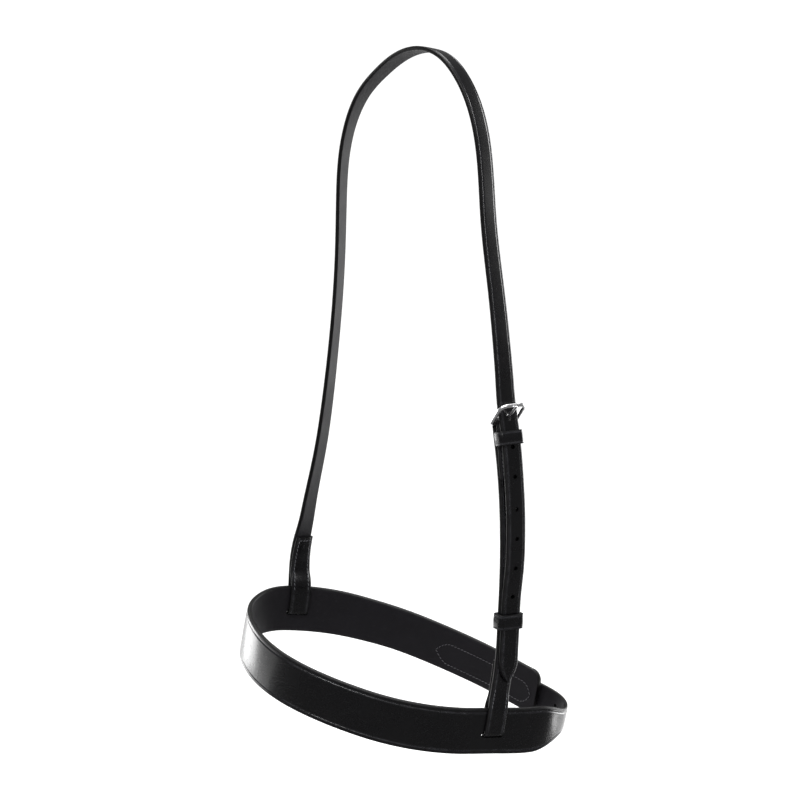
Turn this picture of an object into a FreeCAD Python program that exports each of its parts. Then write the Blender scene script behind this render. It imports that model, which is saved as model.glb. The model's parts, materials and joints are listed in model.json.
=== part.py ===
import FreeCAD, Part
import math
import os

V = FreeCAD.Vector

# Leather cavesson noseband with its headpiece. Millimetres. +Z is up, +X runs from the plain side to the
# buckle side, -Y is the front of the nose. The origin is the underside of the headpiece at its crown.

# ---------------------------------------------------------------- driving dimensions
STRAP_WIDTH = 16.0
STRAP_THICK = 3.2
SKIVED_THICK = 2.2          # leather thinned where it folds round a bar or through a slot
BAND_WIDTH = 37.5           # at the front of the nose
BACK_WIDTH = 34.5           # behind the jaw; the upper edge stays level
WIDEN_FROM = 130.0          # along the wide end
WIDEN_LENGTH = 90.0
BAND_THICK = 3.6
BILLET_WIDTH = 20.0         # noseband billet, after its taper
BILLET_THICK = 3.0
HOLE_PITCH = 22.5
HOLE_DIAMETER = 3.4
SEWN_GAP = 0.05             # between leathers sewn face to face

SLOT_LENGTH = 17.6
SLOT_HEIGHT = 4.8
SLOT_BELOW_MIDDLE = 2.4     # slot centre under the middle of the band

WIRE = 3.0                  # buckle wire
FRAME_DEPTH = 20.0          # from a buckle's bar to its far side, middle to middle
FRAME_CORNER = 5.0
BAR_CLEARANCE = 0.08        # radial, between a buckle's bar and what turns on it
TONGUE_WIRE = 2.2
TONGUE_RING_WIDTH = 3.4
TONGUE_RING_WALL = 1.3
CHAPE_SLOT_WIDTH = 5.0      # opening in the fold for the tongue
CHAPE_SLOT_REACH = 6.0
TONGUE_HOLE = (3.2, 5.8)    # billet hole that the tongue stretched: across and along
KEEPER_WALL = 1.5
KEEPER_BASE = 1.0
KEEPER_HEIGHT = 10.5
RUNNER_HEIGHT = 11.5
RUNNER_GAP = 0.75
RUNNER_WALL = 1.9
LOOP_CORNER = 1.2
THREAD = 0.6
THREAD_GAP = 0.1            # under the thread
SEAM_INSET = 2.6            # from a strap's edge to its row of thread
SAFE_THICK = 1.6            # guard leather under the noseband's buckle
SAFE_WIDTH = 21.0
CHAPE_WIDTH = 20.0
CHAPE_LOW = 2.0             # chape, safe and billet lie this much under the band's middle

# ---------------------------------------------------------------- where the noseband hangs
RING_TILT = math.radians(15.0)
RING_ORIGIN = V(-41.3, 0, -469.2)
RING_X = V(math.cos(RING_TILT), 0, -math.sin(RING_TILT))
RING_Y = V(0, 1, 0)
RING_UP = V(math.sin(RING_TILT), 0, math.cos(RING_TILT))

# Middle line of the noseband in its own plane: from the wide end behind the jaw, along the back, round
# the plain side, the front of the nose and the buckle side, up to where the billet meets the wide end.
BAND_ROUTE = [
    (82.5, 79.5), (58, 77.3), (32, 74.2), (6, 69), (-20, 62), (-44, 53.5), (-68, 41), (-90, 25.5),
    (-106, 5), (-113.5, -18), (-107.5, -43), (-91, -65.5), (-68, -81), (-40, -91), (-10, -93.5), (20, -88.5),
    (48, -78.5), (75, -63), (95, -43), (109, -19), (117, 4), (124.5, 25.5), (127, 43), (124, 61),
    (116, 77), (101, 85.5),
]
# The billet goes on outside the wide end: length along the wide end, distance between middle lines.
BILLET_LAY = [
    (3, 6.2), (10, 6.0), (18, 6.8), (26, 9.4), (34, 12.95), (42, 12.4), (50, 10.8), (58, 10.0), (70, 9.9),
    (84, 9.9), (98, 9.8), (112, 7.0), (126, 4.6), (140, 3.75), (152, 3.75), (160, 3.75),
]
SAFE_SPAN = (5.5, 100.0)    # lengths along the wide end
BAND_BAR_AT = 34.0
CHAPE_END = 98.0
BAND_CHAPE_CLOSE = 18.0     # from the bar, where the chape's two layers have come together
BAND_KEEPERS_AT = (62.0, 84.0)
TAPER_START = 34.0          # past the buckle-side slot
TAPER_LENGTH = 44.0
TIP_LENGTH = 16.0
END_ROUNDING = 7.0
PLAIN_SLOT = (-108.8, 0.4)
BUCKLE_SLOT = (116.6, 3.0)

# ---------------------------------------------------------------- the headpiece and the cheek strap
# Outer leg and main run, from above the band's edge to the other end: x, y, z, compass angle of the width.
HEADPIECE_ROUTE = [
    (-144.8, 1.6, -402.0, 80), (-142.9, 2.6, -387.4, 88), (-139.2, 3.0, -375.0, 96), (-132.9, 2.4, -355.0, 104),
    (-120.6, 2.0, -314.3, 110), (-111.4, 1.6, -274.6, 113), (-104.4, 1.2, -235.3, 116),
    (-98.9, 0.9, -196.2, 117), (-95.6, 0.8, -157.9, 117), (-94.0, 0.7, -119.8, 116), (-91.0, 0.5, -87.8, 114),
    (-82.6, 0.4, -59.8, 111), (-67.2, 0.2, -35.9, 105), (-49.0, 0.1, -20.0, 98), (-27.0, 0, -6.0, 92),
    (0, 0, 1.6, 90), (22.3, 0.1, -2.4, 91), (38.7, 0.3, -14.8, 93), (50.6, 0.6, -31.3, 95),
    (57.0, 0.9, -46.0, 96), (61.4, 1.2, -63.0, 97), (64.3, 1.7, -87.4, 97), (66.9, 2.3, -122.0, 96),
    (70.6, 3.0, -150.0, 95), (74.9, 3.6, -178.0, 93), (78.4, 4.2, -206.0, 90), (81.0, 5.0, -234.0, 86),
    (82.5, 5.5, -252.0, 83), (85.1, 5.9, -267.5, 81), (87.1, 6.0, -279.0, 80), (89.0, 6.0, -292.0, 80),
    (90.7, 6.0, -308.0, 80), (92.4, 6.0, -332.0, 80), (92.6, 6.0, -354.0, 80), (91.2, 6.0, -376.0, 80),
    (88.1, 6.0, -398.0, 80), (87.2, 6.0, -412.0, 80), (86.3, 6.0, -426.0, 80), (85.4, 6.0, -440.0, 80),
    (84.6, 6.0, -452.0, 80), (84.0, 6.0, -461.2, 80),
]
CHEEK_ROUTE = [
    (78.7, 3.2, -471.0, 260), (80.4, 4.8, -456.0, 260), (82.0, 5.8, -438.4, 260), (82.95, 6.0, -424.0, 260),
    (84.0, 6.0, -408.0, 260), (85.05, 6.0, -392.0, 260), (86.0, 6.0, -364.0, 260), (85.6, 6.0, -336.0, 260),
    (83.5, 6.0, -308.0, 260), (81.0, 6.2, -291.0, 260), (78.6, 6.5, -279.0, 260), (75.9, 6.9, -267.5, 260),
]
HEADPIECE_TURN_BACK = 57.0  # sewn end above the slot's loop
CHEEK_TURN_BACK = 56.0
CHAPE_TURN_BACK = 41.0
PLAIN_LEG_GAP = 0.95        # between a loop's legs and the band, which bends tighter on the plain side
BUCKLE_LEG_GAP = 0.35
LOOP_LOW = 0.2              # middle of the loop's turn above the middle of the band
PLAIN_LEAN = 1.1            # how far a loop's legs lean along the band at its edge
BUCKLE_LEAN = -0.6
HEADPIECE_SEAM = 39.0       # length of a loop's seam, up from its slot
CHEEK_SEAM = 33.0
JOIN_START = 18.5           # along the loop, where its legs begin to close above the band
JOIN_END = 31.0
CHAPE_CLOSE = 30.0          # where the chape's turned-back leg lies down on the cheek strap
CHEEK_KEEPER_AT = 11.7      # below the bar
RUNNER_AT = V(83.61, 6.0, -414.0)
RUNNER_STACK = 3.4          # between the middles of the cheek strap and the billet where the runner slides
CHEEK_FRAME_ANGLE = 56.0    # buckle frame away from its strap
BAND_FRAME_ANGLE = 22.0
CROWN_ROLL = 12.0           # lean of the width over the poll, up towards the front
CHEEK_HOLES = range(1, 7)   # holes past the one in use
BAND_HOLES = (-2, -1, 1, 2, 3)


# ---------------------------------------------------------------- curves
def second_derivatives(knots, values):
    """Second derivatives of the natural cubic through the values."""
    count = len(knots)
    upper = [0.0] * count
    result = [0.0] * count
    for i in range(1, count - 1):
        before = knots[i] - knots[i - 1]
        after = knots[i + 1] - knots[i]
        slope = (values[i + 1] - values[i]) / after - (values[i] - values[i - 1]) / before
        pivot = 2 * (before + after) - before * upper[i - 1]
        upper[i] = after / pivot
        result[i] = (6 * slope - before * result[i - 1]) / pivot
    for i in range(count - 2, 0, -1):
        result[i] -= upper[i] * result[i + 1]
    return result


class Curve:
    """Natural cubic through points of any dimension, measured along by chord length."""

    def __init__(self, points, measured=3):
        self.points = [tuple(p) for p in points]
        self.knots = [0.0]
        for a, b in zip(self.points, self.points[1:]):
            self.knots.append(self.knots[-1] + math.dist(a[:measured], b[:measured]))
        columns = list(zip(*self.points))
        self.bends = [second_derivatives(self.knots, column) for column in columns]
        self.length = self.knots[-1]

    def at(self, s):
        """Point at the length s along the curve."""
        i = 0
        while i < len(self.knots) - 2 and s > self.knots[i + 1]:
            i += 1
        span = self.knots[i + 1] - self.knots[i]
        a = (self.knots[i + 1] - s) / span
        b = 1 - a
        values = []
        for column, bend in zip(zip(*self.points), self.bends):
            cubic = ((a ** 3 - a) * bend[i] + (b ** 3 - b) * bend[i + 1]) * span ** 2 / 6
            values.append(a * column[i] + b * column[i + 1] + cubic)
        return values

    def nearest(self, target, step=0.5):
        """Length along the curve of the point nearest to the target."""
        lengths = [k * step for k in range(int(self.length / step) + 1)]
        return min(lengths, key=lambda s: math.dist(self.at(s)[:len(target)], target))


def smooth(u):
    """Ease from 0 to 1."""
    u = min(1.0, max(0.0, u))
    return u * u * (3 - 2 * u)


def spread(start, stop, step):
    """Even steps from start to stop, both included."""
    count = max(1, round(abs(stop - start) / step))
    return [start + (stop - start) * k / count for k in range(count + 1)]


# ---------------------------------------------------------------- straps
class Station:
    """One cross-section of a strap: centre, width direction, thickness and half width."""

    def __init__(self, centre, across, thick, half):
        self.centre = centre
        self.across = across
        self.thick = thick
        self.half = half
        self.out = None
        self.along = None

    def point(self, across, out):
        return self.centre + self.across * across + self.out * out


def orient(stations):
    """Give each station its direction of travel, and its outward and width directions square to it."""
    last = len(stations) - 1
    for i, station in enumerate(stations):
        ahead = stations[min(i + 1, last)].centre
        behind = stations[max(i - 1, 0)].centre
        station.along = (ahead - behind).normalize()
        station.out = station.along.cross(station.across).normalize()
        station.across = station.out.cross(station.along).normalize()
    return stations


def ribbon(stations, section):
    """Smooth closed solid whose cross-section at each station is the four corners that section gives."""
    wires = []
    for station in stations:
        corners = [station.point(*corner) for corner in section(station)]
        wires.append(Part.makePolygon(corners + [corners[0]]))
    return Part.makeLoft(wires, True, False)


def strap(stations):
    """Leather of each station's own width and thickness."""
    def section(station):
        half = station.half
        thick = station.thick / 2
        return [(half, thick), (-half, thick), (-half, -thick), (half, -thick)]
    return ribbon(stations, section)


def seam(stations, across, side):
    """One row of thread lying on a strap's face: side is +1 outside, -1 inside."""
    def section(station):
        low = side * (station.thick / 2 + THREAD_GAP)
        high = low + side * THREAD / 2
        return [(across + THREAD / 2, high), (across - THREAD / 2, high),
                (across - THREAD / 2, low), (across + THREAD / 2, low)]
    return ribbon(stations, section)


def point_half(width, to_end, length):
    """Half width of a strap's point: it closes as a parabola over the last stretch."""
    if to_end >= length:
        return width / 2
    u = 1 - to_end / length
    return max(width / 2 * (1 - u * u), 0.8)


def to_world(shape, origin, across, out, along):
    """Place a shape made in the (across, out, along) axes."""
    frame = FreeCAD.Placement(FreeCAD.Matrix(
        across.x, out.x, along.x, origin.x,
        across.y, out.y, along.y, origin.y,
        across.z, out.z, along.z, origin.z,
        0, 0, 0, 1))
    shape.Placement = frame.multiply(shape.Placement)
    return shape


def rounded(half_across, out_low, out_high, corner, low, high):
    """Rounded bar: a rounded rectangle in across and out, carried from low to high along."""
    box = Part.makeBox(2 * half_across, out_high - out_low, high - low, V(-half_across, out_low, low))
    edges = [e for e in box.Edges if abs(e.tangentAt(e.FirstParameter).z) > 0.9]
    return box.makeFillet(corner, edges)


def leather_loop(half_inside, inside_low, inside_high, wall, base, height):
    """Keeper or runner: a closed band of leather, with its base on the low side."""
    outer = rounded(half_inside + wall, inside_low - base, inside_high + wall, LOOP_CORNER + wall * 0.6,
                    -height / 2, height / 2)
    inner = rounded(half_inside, inside_low, inside_high, LOOP_CORNER * 0.5, -height, height)
    return outer.cut(inner)


def slot_cutter(across, along, depth):
    """Round-ended slot through the out direction, in the (across, out, along) axes."""
    radius = min(across, along) / 2
    reach = max(across, along) / 2 - radius
    direction = V(1, 0, 0) if across > along else V(0, 0, 1)
    ends = [Part.makeCylinder(radius, depth, direction * (side * reach) + V(0, -depth / 2, 0), V(0, 1, 0))
            for side in (-1, 1)]
    if reach < 0.01:
        return ends[0]
    size = V(across - 2 * radius, depth, along) if across > along else V(across, depth, along - 2 * radius)
    middle = Part.makeBox(size.x, size.y, size.z, V(-size.x / 2, -depth / 2, -size.z / 2))
    return ends[0].fuse([ends[1], middle]).removeSplitter()


# ---------------------------------------------------------------- stations of the noseband
def ring_point(x, y, up):
    """World point from coordinates in the noseband's own plane."""
    return RING_ORIGIN + RING_X * x + RING_Y * y + RING_UP * up


WIDE_END = Curve(BAND_ROUTE, 2)


def beside(s, distance):
    """Point outside the wide end: s along its middle line, distance away from it."""
    here = WIDE_END.at(s)
    ahead = WIDE_END.at(s + 0.5)
    length = math.dist(here, ahead)
    return (here[0] + distance * (ahead[1] - here[1]) / length,
            here[1] - distance * (ahead[0] - here[0]) / length)


BAND = Curve(BAND_ROUTE + [beside(s, d) for s, d in BILLET_LAY], 2)
PLAIN_SLOT_AT = BAND.nearest(PLAIN_SLOT)
BUCKLE_SLOT_AT = BAND.nearest(BUCKLE_SLOT)


def band_station(s):
    """Noseband cross-section: wide, then tapered to the billet, then its point."""
    x, y = BAND.at(s)
    narrowing = smooth((s - BUCKLE_SLOT_AT - TAPER_START) / TAPER_LENGTH)
    full = BACK_WIDTH + (BAND_WIDTH - BACK_WIDTH) * smooth((s - WIDEN_FROM) / WIDEN_LENGTH)
    width = full + (BILLET_WIDTH - full) * narrowing
    thick = BAND_THICK + (BILLET_THICK - BAND_THICK) * narrowing
    half = point_half(width, BAND.length - s, TIP_LENGTH)
    if s < END_ROUNDING:
        half -= END_ROUNDING - math.sqrt(END_ROUNDING ** 2 - (END_ROUNDING - s) ** 2)
    return Station(ring_point(x, y, (BAND_WIDTH - full) / 2 - CHAPE_LOW * narrowing), RING_UP, thick, half)


def band_frame(s):
    """Oriented cross-section of the noseband at s: across is up, out is away from the nose."""
    return orient([band_station(s - 0.5), band_station(s), band_station(s + 0.5)])[1]


def over_band(s, distance, half, thick):
    """Cross-section of a leather that lies outside the wide end."""
    x, y = beside(s, distance)
    return Station(ring_point(x, y, -CHAPE_LOW), RING_UP, thick, half)


# ---------------------------------------------------------------- stations of the headpiece and cheek strap
def compass_station(curve, s, thick):
    """Cross-section of a strap whose route gives the compass angle of its width."""
    x, y, z, compass = curve.at(s)
    turn = math.radians(compass)
    roll = math.radians(CROWN_ROLL) * smooth((z + 110) / 110)
    across = V(math.cos(turn) * math.cos(roll), math.sin(turn) * math.cos(roll), -math.sin(roll))
    return Station(V(x, y, z), across, thick, STRAP_WIDTH / 2)


def loop_legs(slot_at, leg_gap, lean, route, turn_back):
    """A strap down outside the band, through its slot and up inside, where it is sewn to itself.

    Gives the curve of the outer leg and main run, the stations of the inner leg and the turn, in order,
    and the thickness of the main run at a length along its curve. The legs keep leg_gap from the band.
    """
    here = band_frame(slot_at)
    reach = BAND_THICK / 2 + leg_gap + SKIVED_THICK / 2
    base = here.centre + RING_UP * LOOP_LOW + here.out * reach
    heading = math.degrees(math.atan2(here.along.y, here.along.x))
    heading += 180 * round((route[0][3] - heading) / 180)
    starts = []
    for up in (0, 6, 12, JOIN_START):
        point = base + RING_UP * up + here.along * (lean * (up / JOIN_START) ** 2)
        starts.append(tuple(point) + (heading,))
    main = Curve(starts + route)

    def thickness(s):
        return SKIVED_THICK + (STRAP_THICK - SKIVED_THICK) * smooth((s - JOIN_START) / 8)

    lengths = spread(0, turn_back, 2)
    outer = orient([compass_station(main, s, thickness(s)) for s in lengths])
    closed = STRAP_THICK / 2 + SEWN_GAP + SKIVED_THICK / 2
    inner = []
    for s, station in zip(lengths, outer):
        apart = 2 * reach + (closed - 2 * reach) * smooth((s - JOIN_START) / (JOIN_END - JOIN_START))
        centre = station.centre - station.out * apart
        inner.append(Station(centre, station.across, SKIVED_THICK, STRAP_WIDTH / 2))
    turn = []
    for degrees in spread(0, 180, 12)[1:-1]:
        angle = math.radians(degrees)
        drop = RING_UP * (-reach * math.sin(angle))
        centre = outer[0].centre - outer[0].out * (reach * (1 + math.cos(angle))) + drop
        turn.append(Station(centre, outer[0].across, SKIVED_THICK, STRAP_WIDTH / 2))
    return main, inner[::-1] + turn, thickness


def fold_round_bar(stations, last, out_sign=1):
    """Stations of a half turn round a buckle's bar, and the bar's centre."""
    radius = WIRE / 2 + BAR_CLEARANCE + SKIVED_THICK / 2
    bar = last.centre + last.out * (radius * out_sign)
    for degrees in spread(0, 180, 12)[1:-1]:
        angle = math.radians(degrees)
        centre = bar - last.out * (radius * out_sign * math.cos(angle)) + last.along * (radius * math.sin(angle))
        stations.append(Station(centre, last.across, SKIVED_THICK, last.half))
    return bar


# ---------------------------------------------------------------- buckles
def wire_run(start, end):
    """Straight piece of buckle wire."""
    return Part.makeCylinder(WIRE / 2, (end - start).Length, start, end - start)


def wire_corner(centre, start, axis):
    """Quarter turn of buckle wire about a centre, from a start point."""
    tangent = axis.cross(start - centre)
    circle = Part.Wire(Part.makeCircle(WIRE / 2, start, tangent))
    return Part.Face(circle).revolve(centre, axis, 90)


def buckle_frame(half_across, angle):
    """Rounded wire frame whose bar lies on the local X axis, tilted outward by the angle."""
    low = 2.5
    high = FRAME_CORNER
    top = FRAME_DEPTH
    side = half_across
    pieces = [
        wire_run(V(-side + low, 0, 0), V(side - low, 0, 0)),
        wire_run(V(-side + high, 0, top), V(side - high, 0, top)),
    ]
    for sign in (-1, 1):
        pieces.append(wire_run(V(sign * side, 0, low), V(sign * side, 0, top - high)))
        pieces.append(wire_corner(V(sign * (side - low), 0, low), V(sign * (side - low), 0, 0), V(0, -sign, 0)))
        pieces.append(wire_corner(V(sign * (side - high), 0, top - high), V(sign * side, 0, top - high),
                                  V(0, -sign, 0)))
    frame = pieces[0].fuse(pieces[1:]).removeSplitter()
    frame.rotate(V(0, 0, 0), V(1, 0, 0), -angle)
    return frame


def tongue_angle(angle):
    """Angle at which a tongue rests on the far side of a frame tilted by the angle."""
    return angle + math.degrees(math.asin((WIRE / 2 + TONGUE_WIRE / 2 + SEWN_GAP) / FRAME_DEPTH))


def buckle_tongue(angle):
    """Ring round the bar and a round-ended arm that rests on the frame's far side."""
    bore = WIRE / 2 + BAR_CLEARANCE
    half = TONGUE_RING_WIDTH / 2
    ring = Part.makeCylinder(bore + TONGUE_RING_WALL, TONGUE_RING_WIDTH, V(-half, 0, 0), V(1, 0, 0))
    reach = FRAME_DEPTH + 2.0
    arm = Part.makeCylinder(TONGUE_WIRE / 2, reach, V(0, 0, 0), V(0, 0, 1))
    tip = Part.makeSphere(TONGUE_WIRE / 2, V(0, 0, reach))
    hole = Part.makeCylinder(bore, TONGUE_RING_WIDTH * 2, V(-TONGUE_RING_WIDTH, 0, 0), V(1, 0, 0))
    tongue = ring.fuse([arm, tip]).cut(hole)
    tongue.rotate(V(0, 0, 0), V(1, 0, 0), -tongue_angle(angle))
    return tongue


def crossing(curve_point, lengths, bar, out, far, angle):
    """Length along a billet where the tongue's line passes through it, and the point on that line."""
    turn = math.radians(tongue_angle(angle))
    direction = out * math.sin(turn) + far * math.cos(turn)

    def on_line(s):
        return bar + direction * (curve_point(s) - bar).dot(direction)
    best = min(lengths, key=lambda s: (curve_point(s) - on_line(s)).Length)
    return best, on_line(best)


def cut_hole(solid, station, across, along, through=None):
    """Cut a hole or round-ended slot through a strap at a station, centred on its width or on a point."""
    aside = 0 if through is None else (through - station.centre).dot(station.across)
    cutter = slot_cutter(across, along, 12)
    to_world(cutter, station.centre + station.across * aside, station.across, station.out, station.along)
    return solid.cut(cutter)


# ---------------------------------------------------------------- the noseband
def make_noseband(parts):
    """Band, safe, chape with its fold, seam, two keepers, buckle frame and tongue."""
    ends = spread(0, END_ROUNDING, 1.0)
    tip = spread(BAND.length - TIP_LENGTH, BAND.length, 1.5)
    lengths = ends[:-1] + spread(END_ROUNDING, BAND.length - TIP_LENGTH, 7)[:-1] + tip
    band = strap(orient([band_station(s) for s in lengths]))
    for slot_at in (PLAIN_SLOT_AT, BUCKLE_SLOT_AT):
        here = band_frame(slot_at)
        here.centre = here.centre - RING_UP * SLOT_BELOW_MIDDLE
        band = cut_hole(band, here, SLOT_HEIGHT, SLOT_LENGTH)

    safe_face = BAND_THICK / 2 + SEWN_GAP + SAFE_THICK
    lower = safe_face + SEWN_GAP + SKIVED_THICK / 2
    upper = lower + SKIVED_THICK + SEWN_GAP
    fold_radius = WIRE / 2 + BAR_CLEARANCE + SKIVED_THICK / 2

    def chape_half(s):
        return point_half(CHAPE_WIDTH, CHAPE_END - s, 14)

    def safe_half(s):
        near = s - SAFE_SPAN[0]
        half = point_half(SAFE_WIDTH, SAFE_SPAN[1] - s, 15)
        round_end = SAFE_WIDTH / 2
        if near < round_end:
            half = max(math.sqrt(round_end ** 2 - (round_end - near) ** 2), 2.0)
        return half

    safe = strap(orient([over_band(s, BAND_THICK / 2 + SEWN_GAP + SAFE_THICK / 2, safe_half(s), SAFE_THICK)
                         for s in spread(*SAFE_SPAN, 1.5)]))

    legs = spread(CHAPE_END, BAND_BAR_AT, 2)
    stations = orient([over_band(s, lower, chape_half(s), SKIVED_THICK) for s in legs])
    last = stations[-1]
    bar = fold_round_bar(stations, last, -1)
    for s in reversed(legs):
        opening = smooth((s - BAND_BAR_AT - 2) / BAND_CHAPE_CLOSE)
        stations.append(over_band(s, lower + 2 * fold_radius + (upper - lower - 2 * fold_radius) * opening,
                                  chape_half(s), SKIVED_THICK))
    upper_stations = orient(stations)[-len(legs) + 8:]
    chape = strap(stations)
    out = last.out * -1
    far = last.along
    across = out.cross(far)
    opening = Part.makeBox(CHAPE_SLOT_WIDTH, 10, 2 * CHAPE_SLOT_REACH, V(-CHAPE_SLOT_WIDTH / 2, -5, -CHAPE_SLOT_REACH))
    parts["noseband_chape"] = chape.cut(to_world(opening, bar, across, out, far))

    frame = buckle_frame(BILLET_WIDTH / 2 + 2.5, BAND_FRAME_ANGLE)
    parts["noseband_buckle_frame"] = to_world(frame, bar, across, out, far)
    parts["noseband_buckle_tongue"] = to_world(buckle_tongue(BAND_FRAME_ANGLE), bar, across, out, far)

    past_buckle = WIDE_END.length
    at, through = crossing(lambda s: band_station(s).centre, [past_buckle + 0.25 * k for k in range(220)],
                           bar, out, far, BAND_FRAME_ANGLE)
    band = cut_hole(band, band_frame(at), *TONGUE_HOLE, through)
    for k in BAND_HOLES:
        band = cut_hole(band, band_frame(at + k * HOLE_PITCH), HOLE_DIAMETER, HOLE_DIAMETER)
    parts["noseband_strap"] = band

    names = ("noseband_first_keeper", "noseband_second_keeper")
    for name, at in zip(names, BAND_KEEPERS_AT):
        here = orient([over_band(at + d, 0, CHAPE_WIDTH / 2, 1) for d in (-0.5, 0, 0.5)])[1]
        roof = upper + SKIVED_THICK / 2 + BILLET_THICK + 0.8
        keeper = leather_loop(SAFE_WIDTH / 2 + 0.2, safe_face + 0.02, roof, KEEPER_WALL, KEEPER_BASE, KEEPER_HEIGHT)
        base = Part.makeBox(SAFE_WIDTH + 8, KEEPER_BASE + 2, KEEPER_HEIGHT + 0.4,
                            V(-SAFE_WIDTH / 2 - 4, safe_face - KEEPER_BASE - 0.05, -KEEPER_HEIGHT / 2 - 0.2))
        parts[name] = to_world(keeper, here.centre, here.across, here.out, here.along)
        safe = safe.cut(to_world(base, here.centre, here.across, here.out, here.along))
    parts["noseband_safe"] = safe

    rows = [seam(upper_stations[:-6], side * (CHAPE_WIDTH / 2 - 1.8), 1) for side in (-1, 1)]
    parts["noseband_chape_stitching"] = Part.makeCompound(rows)
    print("noseband buckle: bar centre", bar, "axis", across, "far side", far)


# ---------------------------------------------------------------- the headpiece
def make_headpiece(parts):
    """Headpiece strap with its loop, billet holes and point, and the thread of its loop."""
    main, start, thickness = loop_legs(PLAIN_SLOT_AT, PLAIN_LEG_GAP, PLAIN_LEAN, HEADPIECE_ROUTE,
                                       HEADPIECE_TURN_BACK)
    tip_from = main.length - TIP_LENGTH
    lengths = spread(0, JOIN_END, 3)[:-1] + spread(JOIN_END, tip_from, 14)[:-1] + spread(tip_from, main.length, 2)
    run = [compass_station(main, s, thickness(s)) for s in lengths]
    for s, station in zip(lengths, run):
        station.half = point_half(STRAP_WIDTH, main.length - s, TIP_LENGTH)
    stations = orient(start + run)
    parts["headpiece_strap"] = strap(stations)
    parts["headpiece_loop_stitching"] = loop_thread(stations, len(start), HEADPIECE_TURN_BACK, HEADPIECE_SEAM)
    return main, thickness


def loop_thread(stations, turn_end, turn_back, reach):
    """Rows of thread on both faces of a loop's joined legs, from the band's edge to the reach."""
    rows = []
    turn = stations[turn_end].centre
    joined = [s for s in stations[1:turn_end + 20] if JOIN_START < (s.centre - turn).Length]
    inner = [s for s in joined if s in stations[:turn_end] and (s.centre - turn).Length < turn_back - 3]
    outer = [s for s in joined if s in stations[turn_end:] and (s.centre - turn).Length < reach]
    for side in (-1, 1):
        across = side * (STRAP_WIDTH / 2 - SEAM_INSET)
        rows.append(seam(inner, across, 1))
        rows.append(seam(outer, across, 1))
    return Part.makeCompound(rows)


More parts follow.
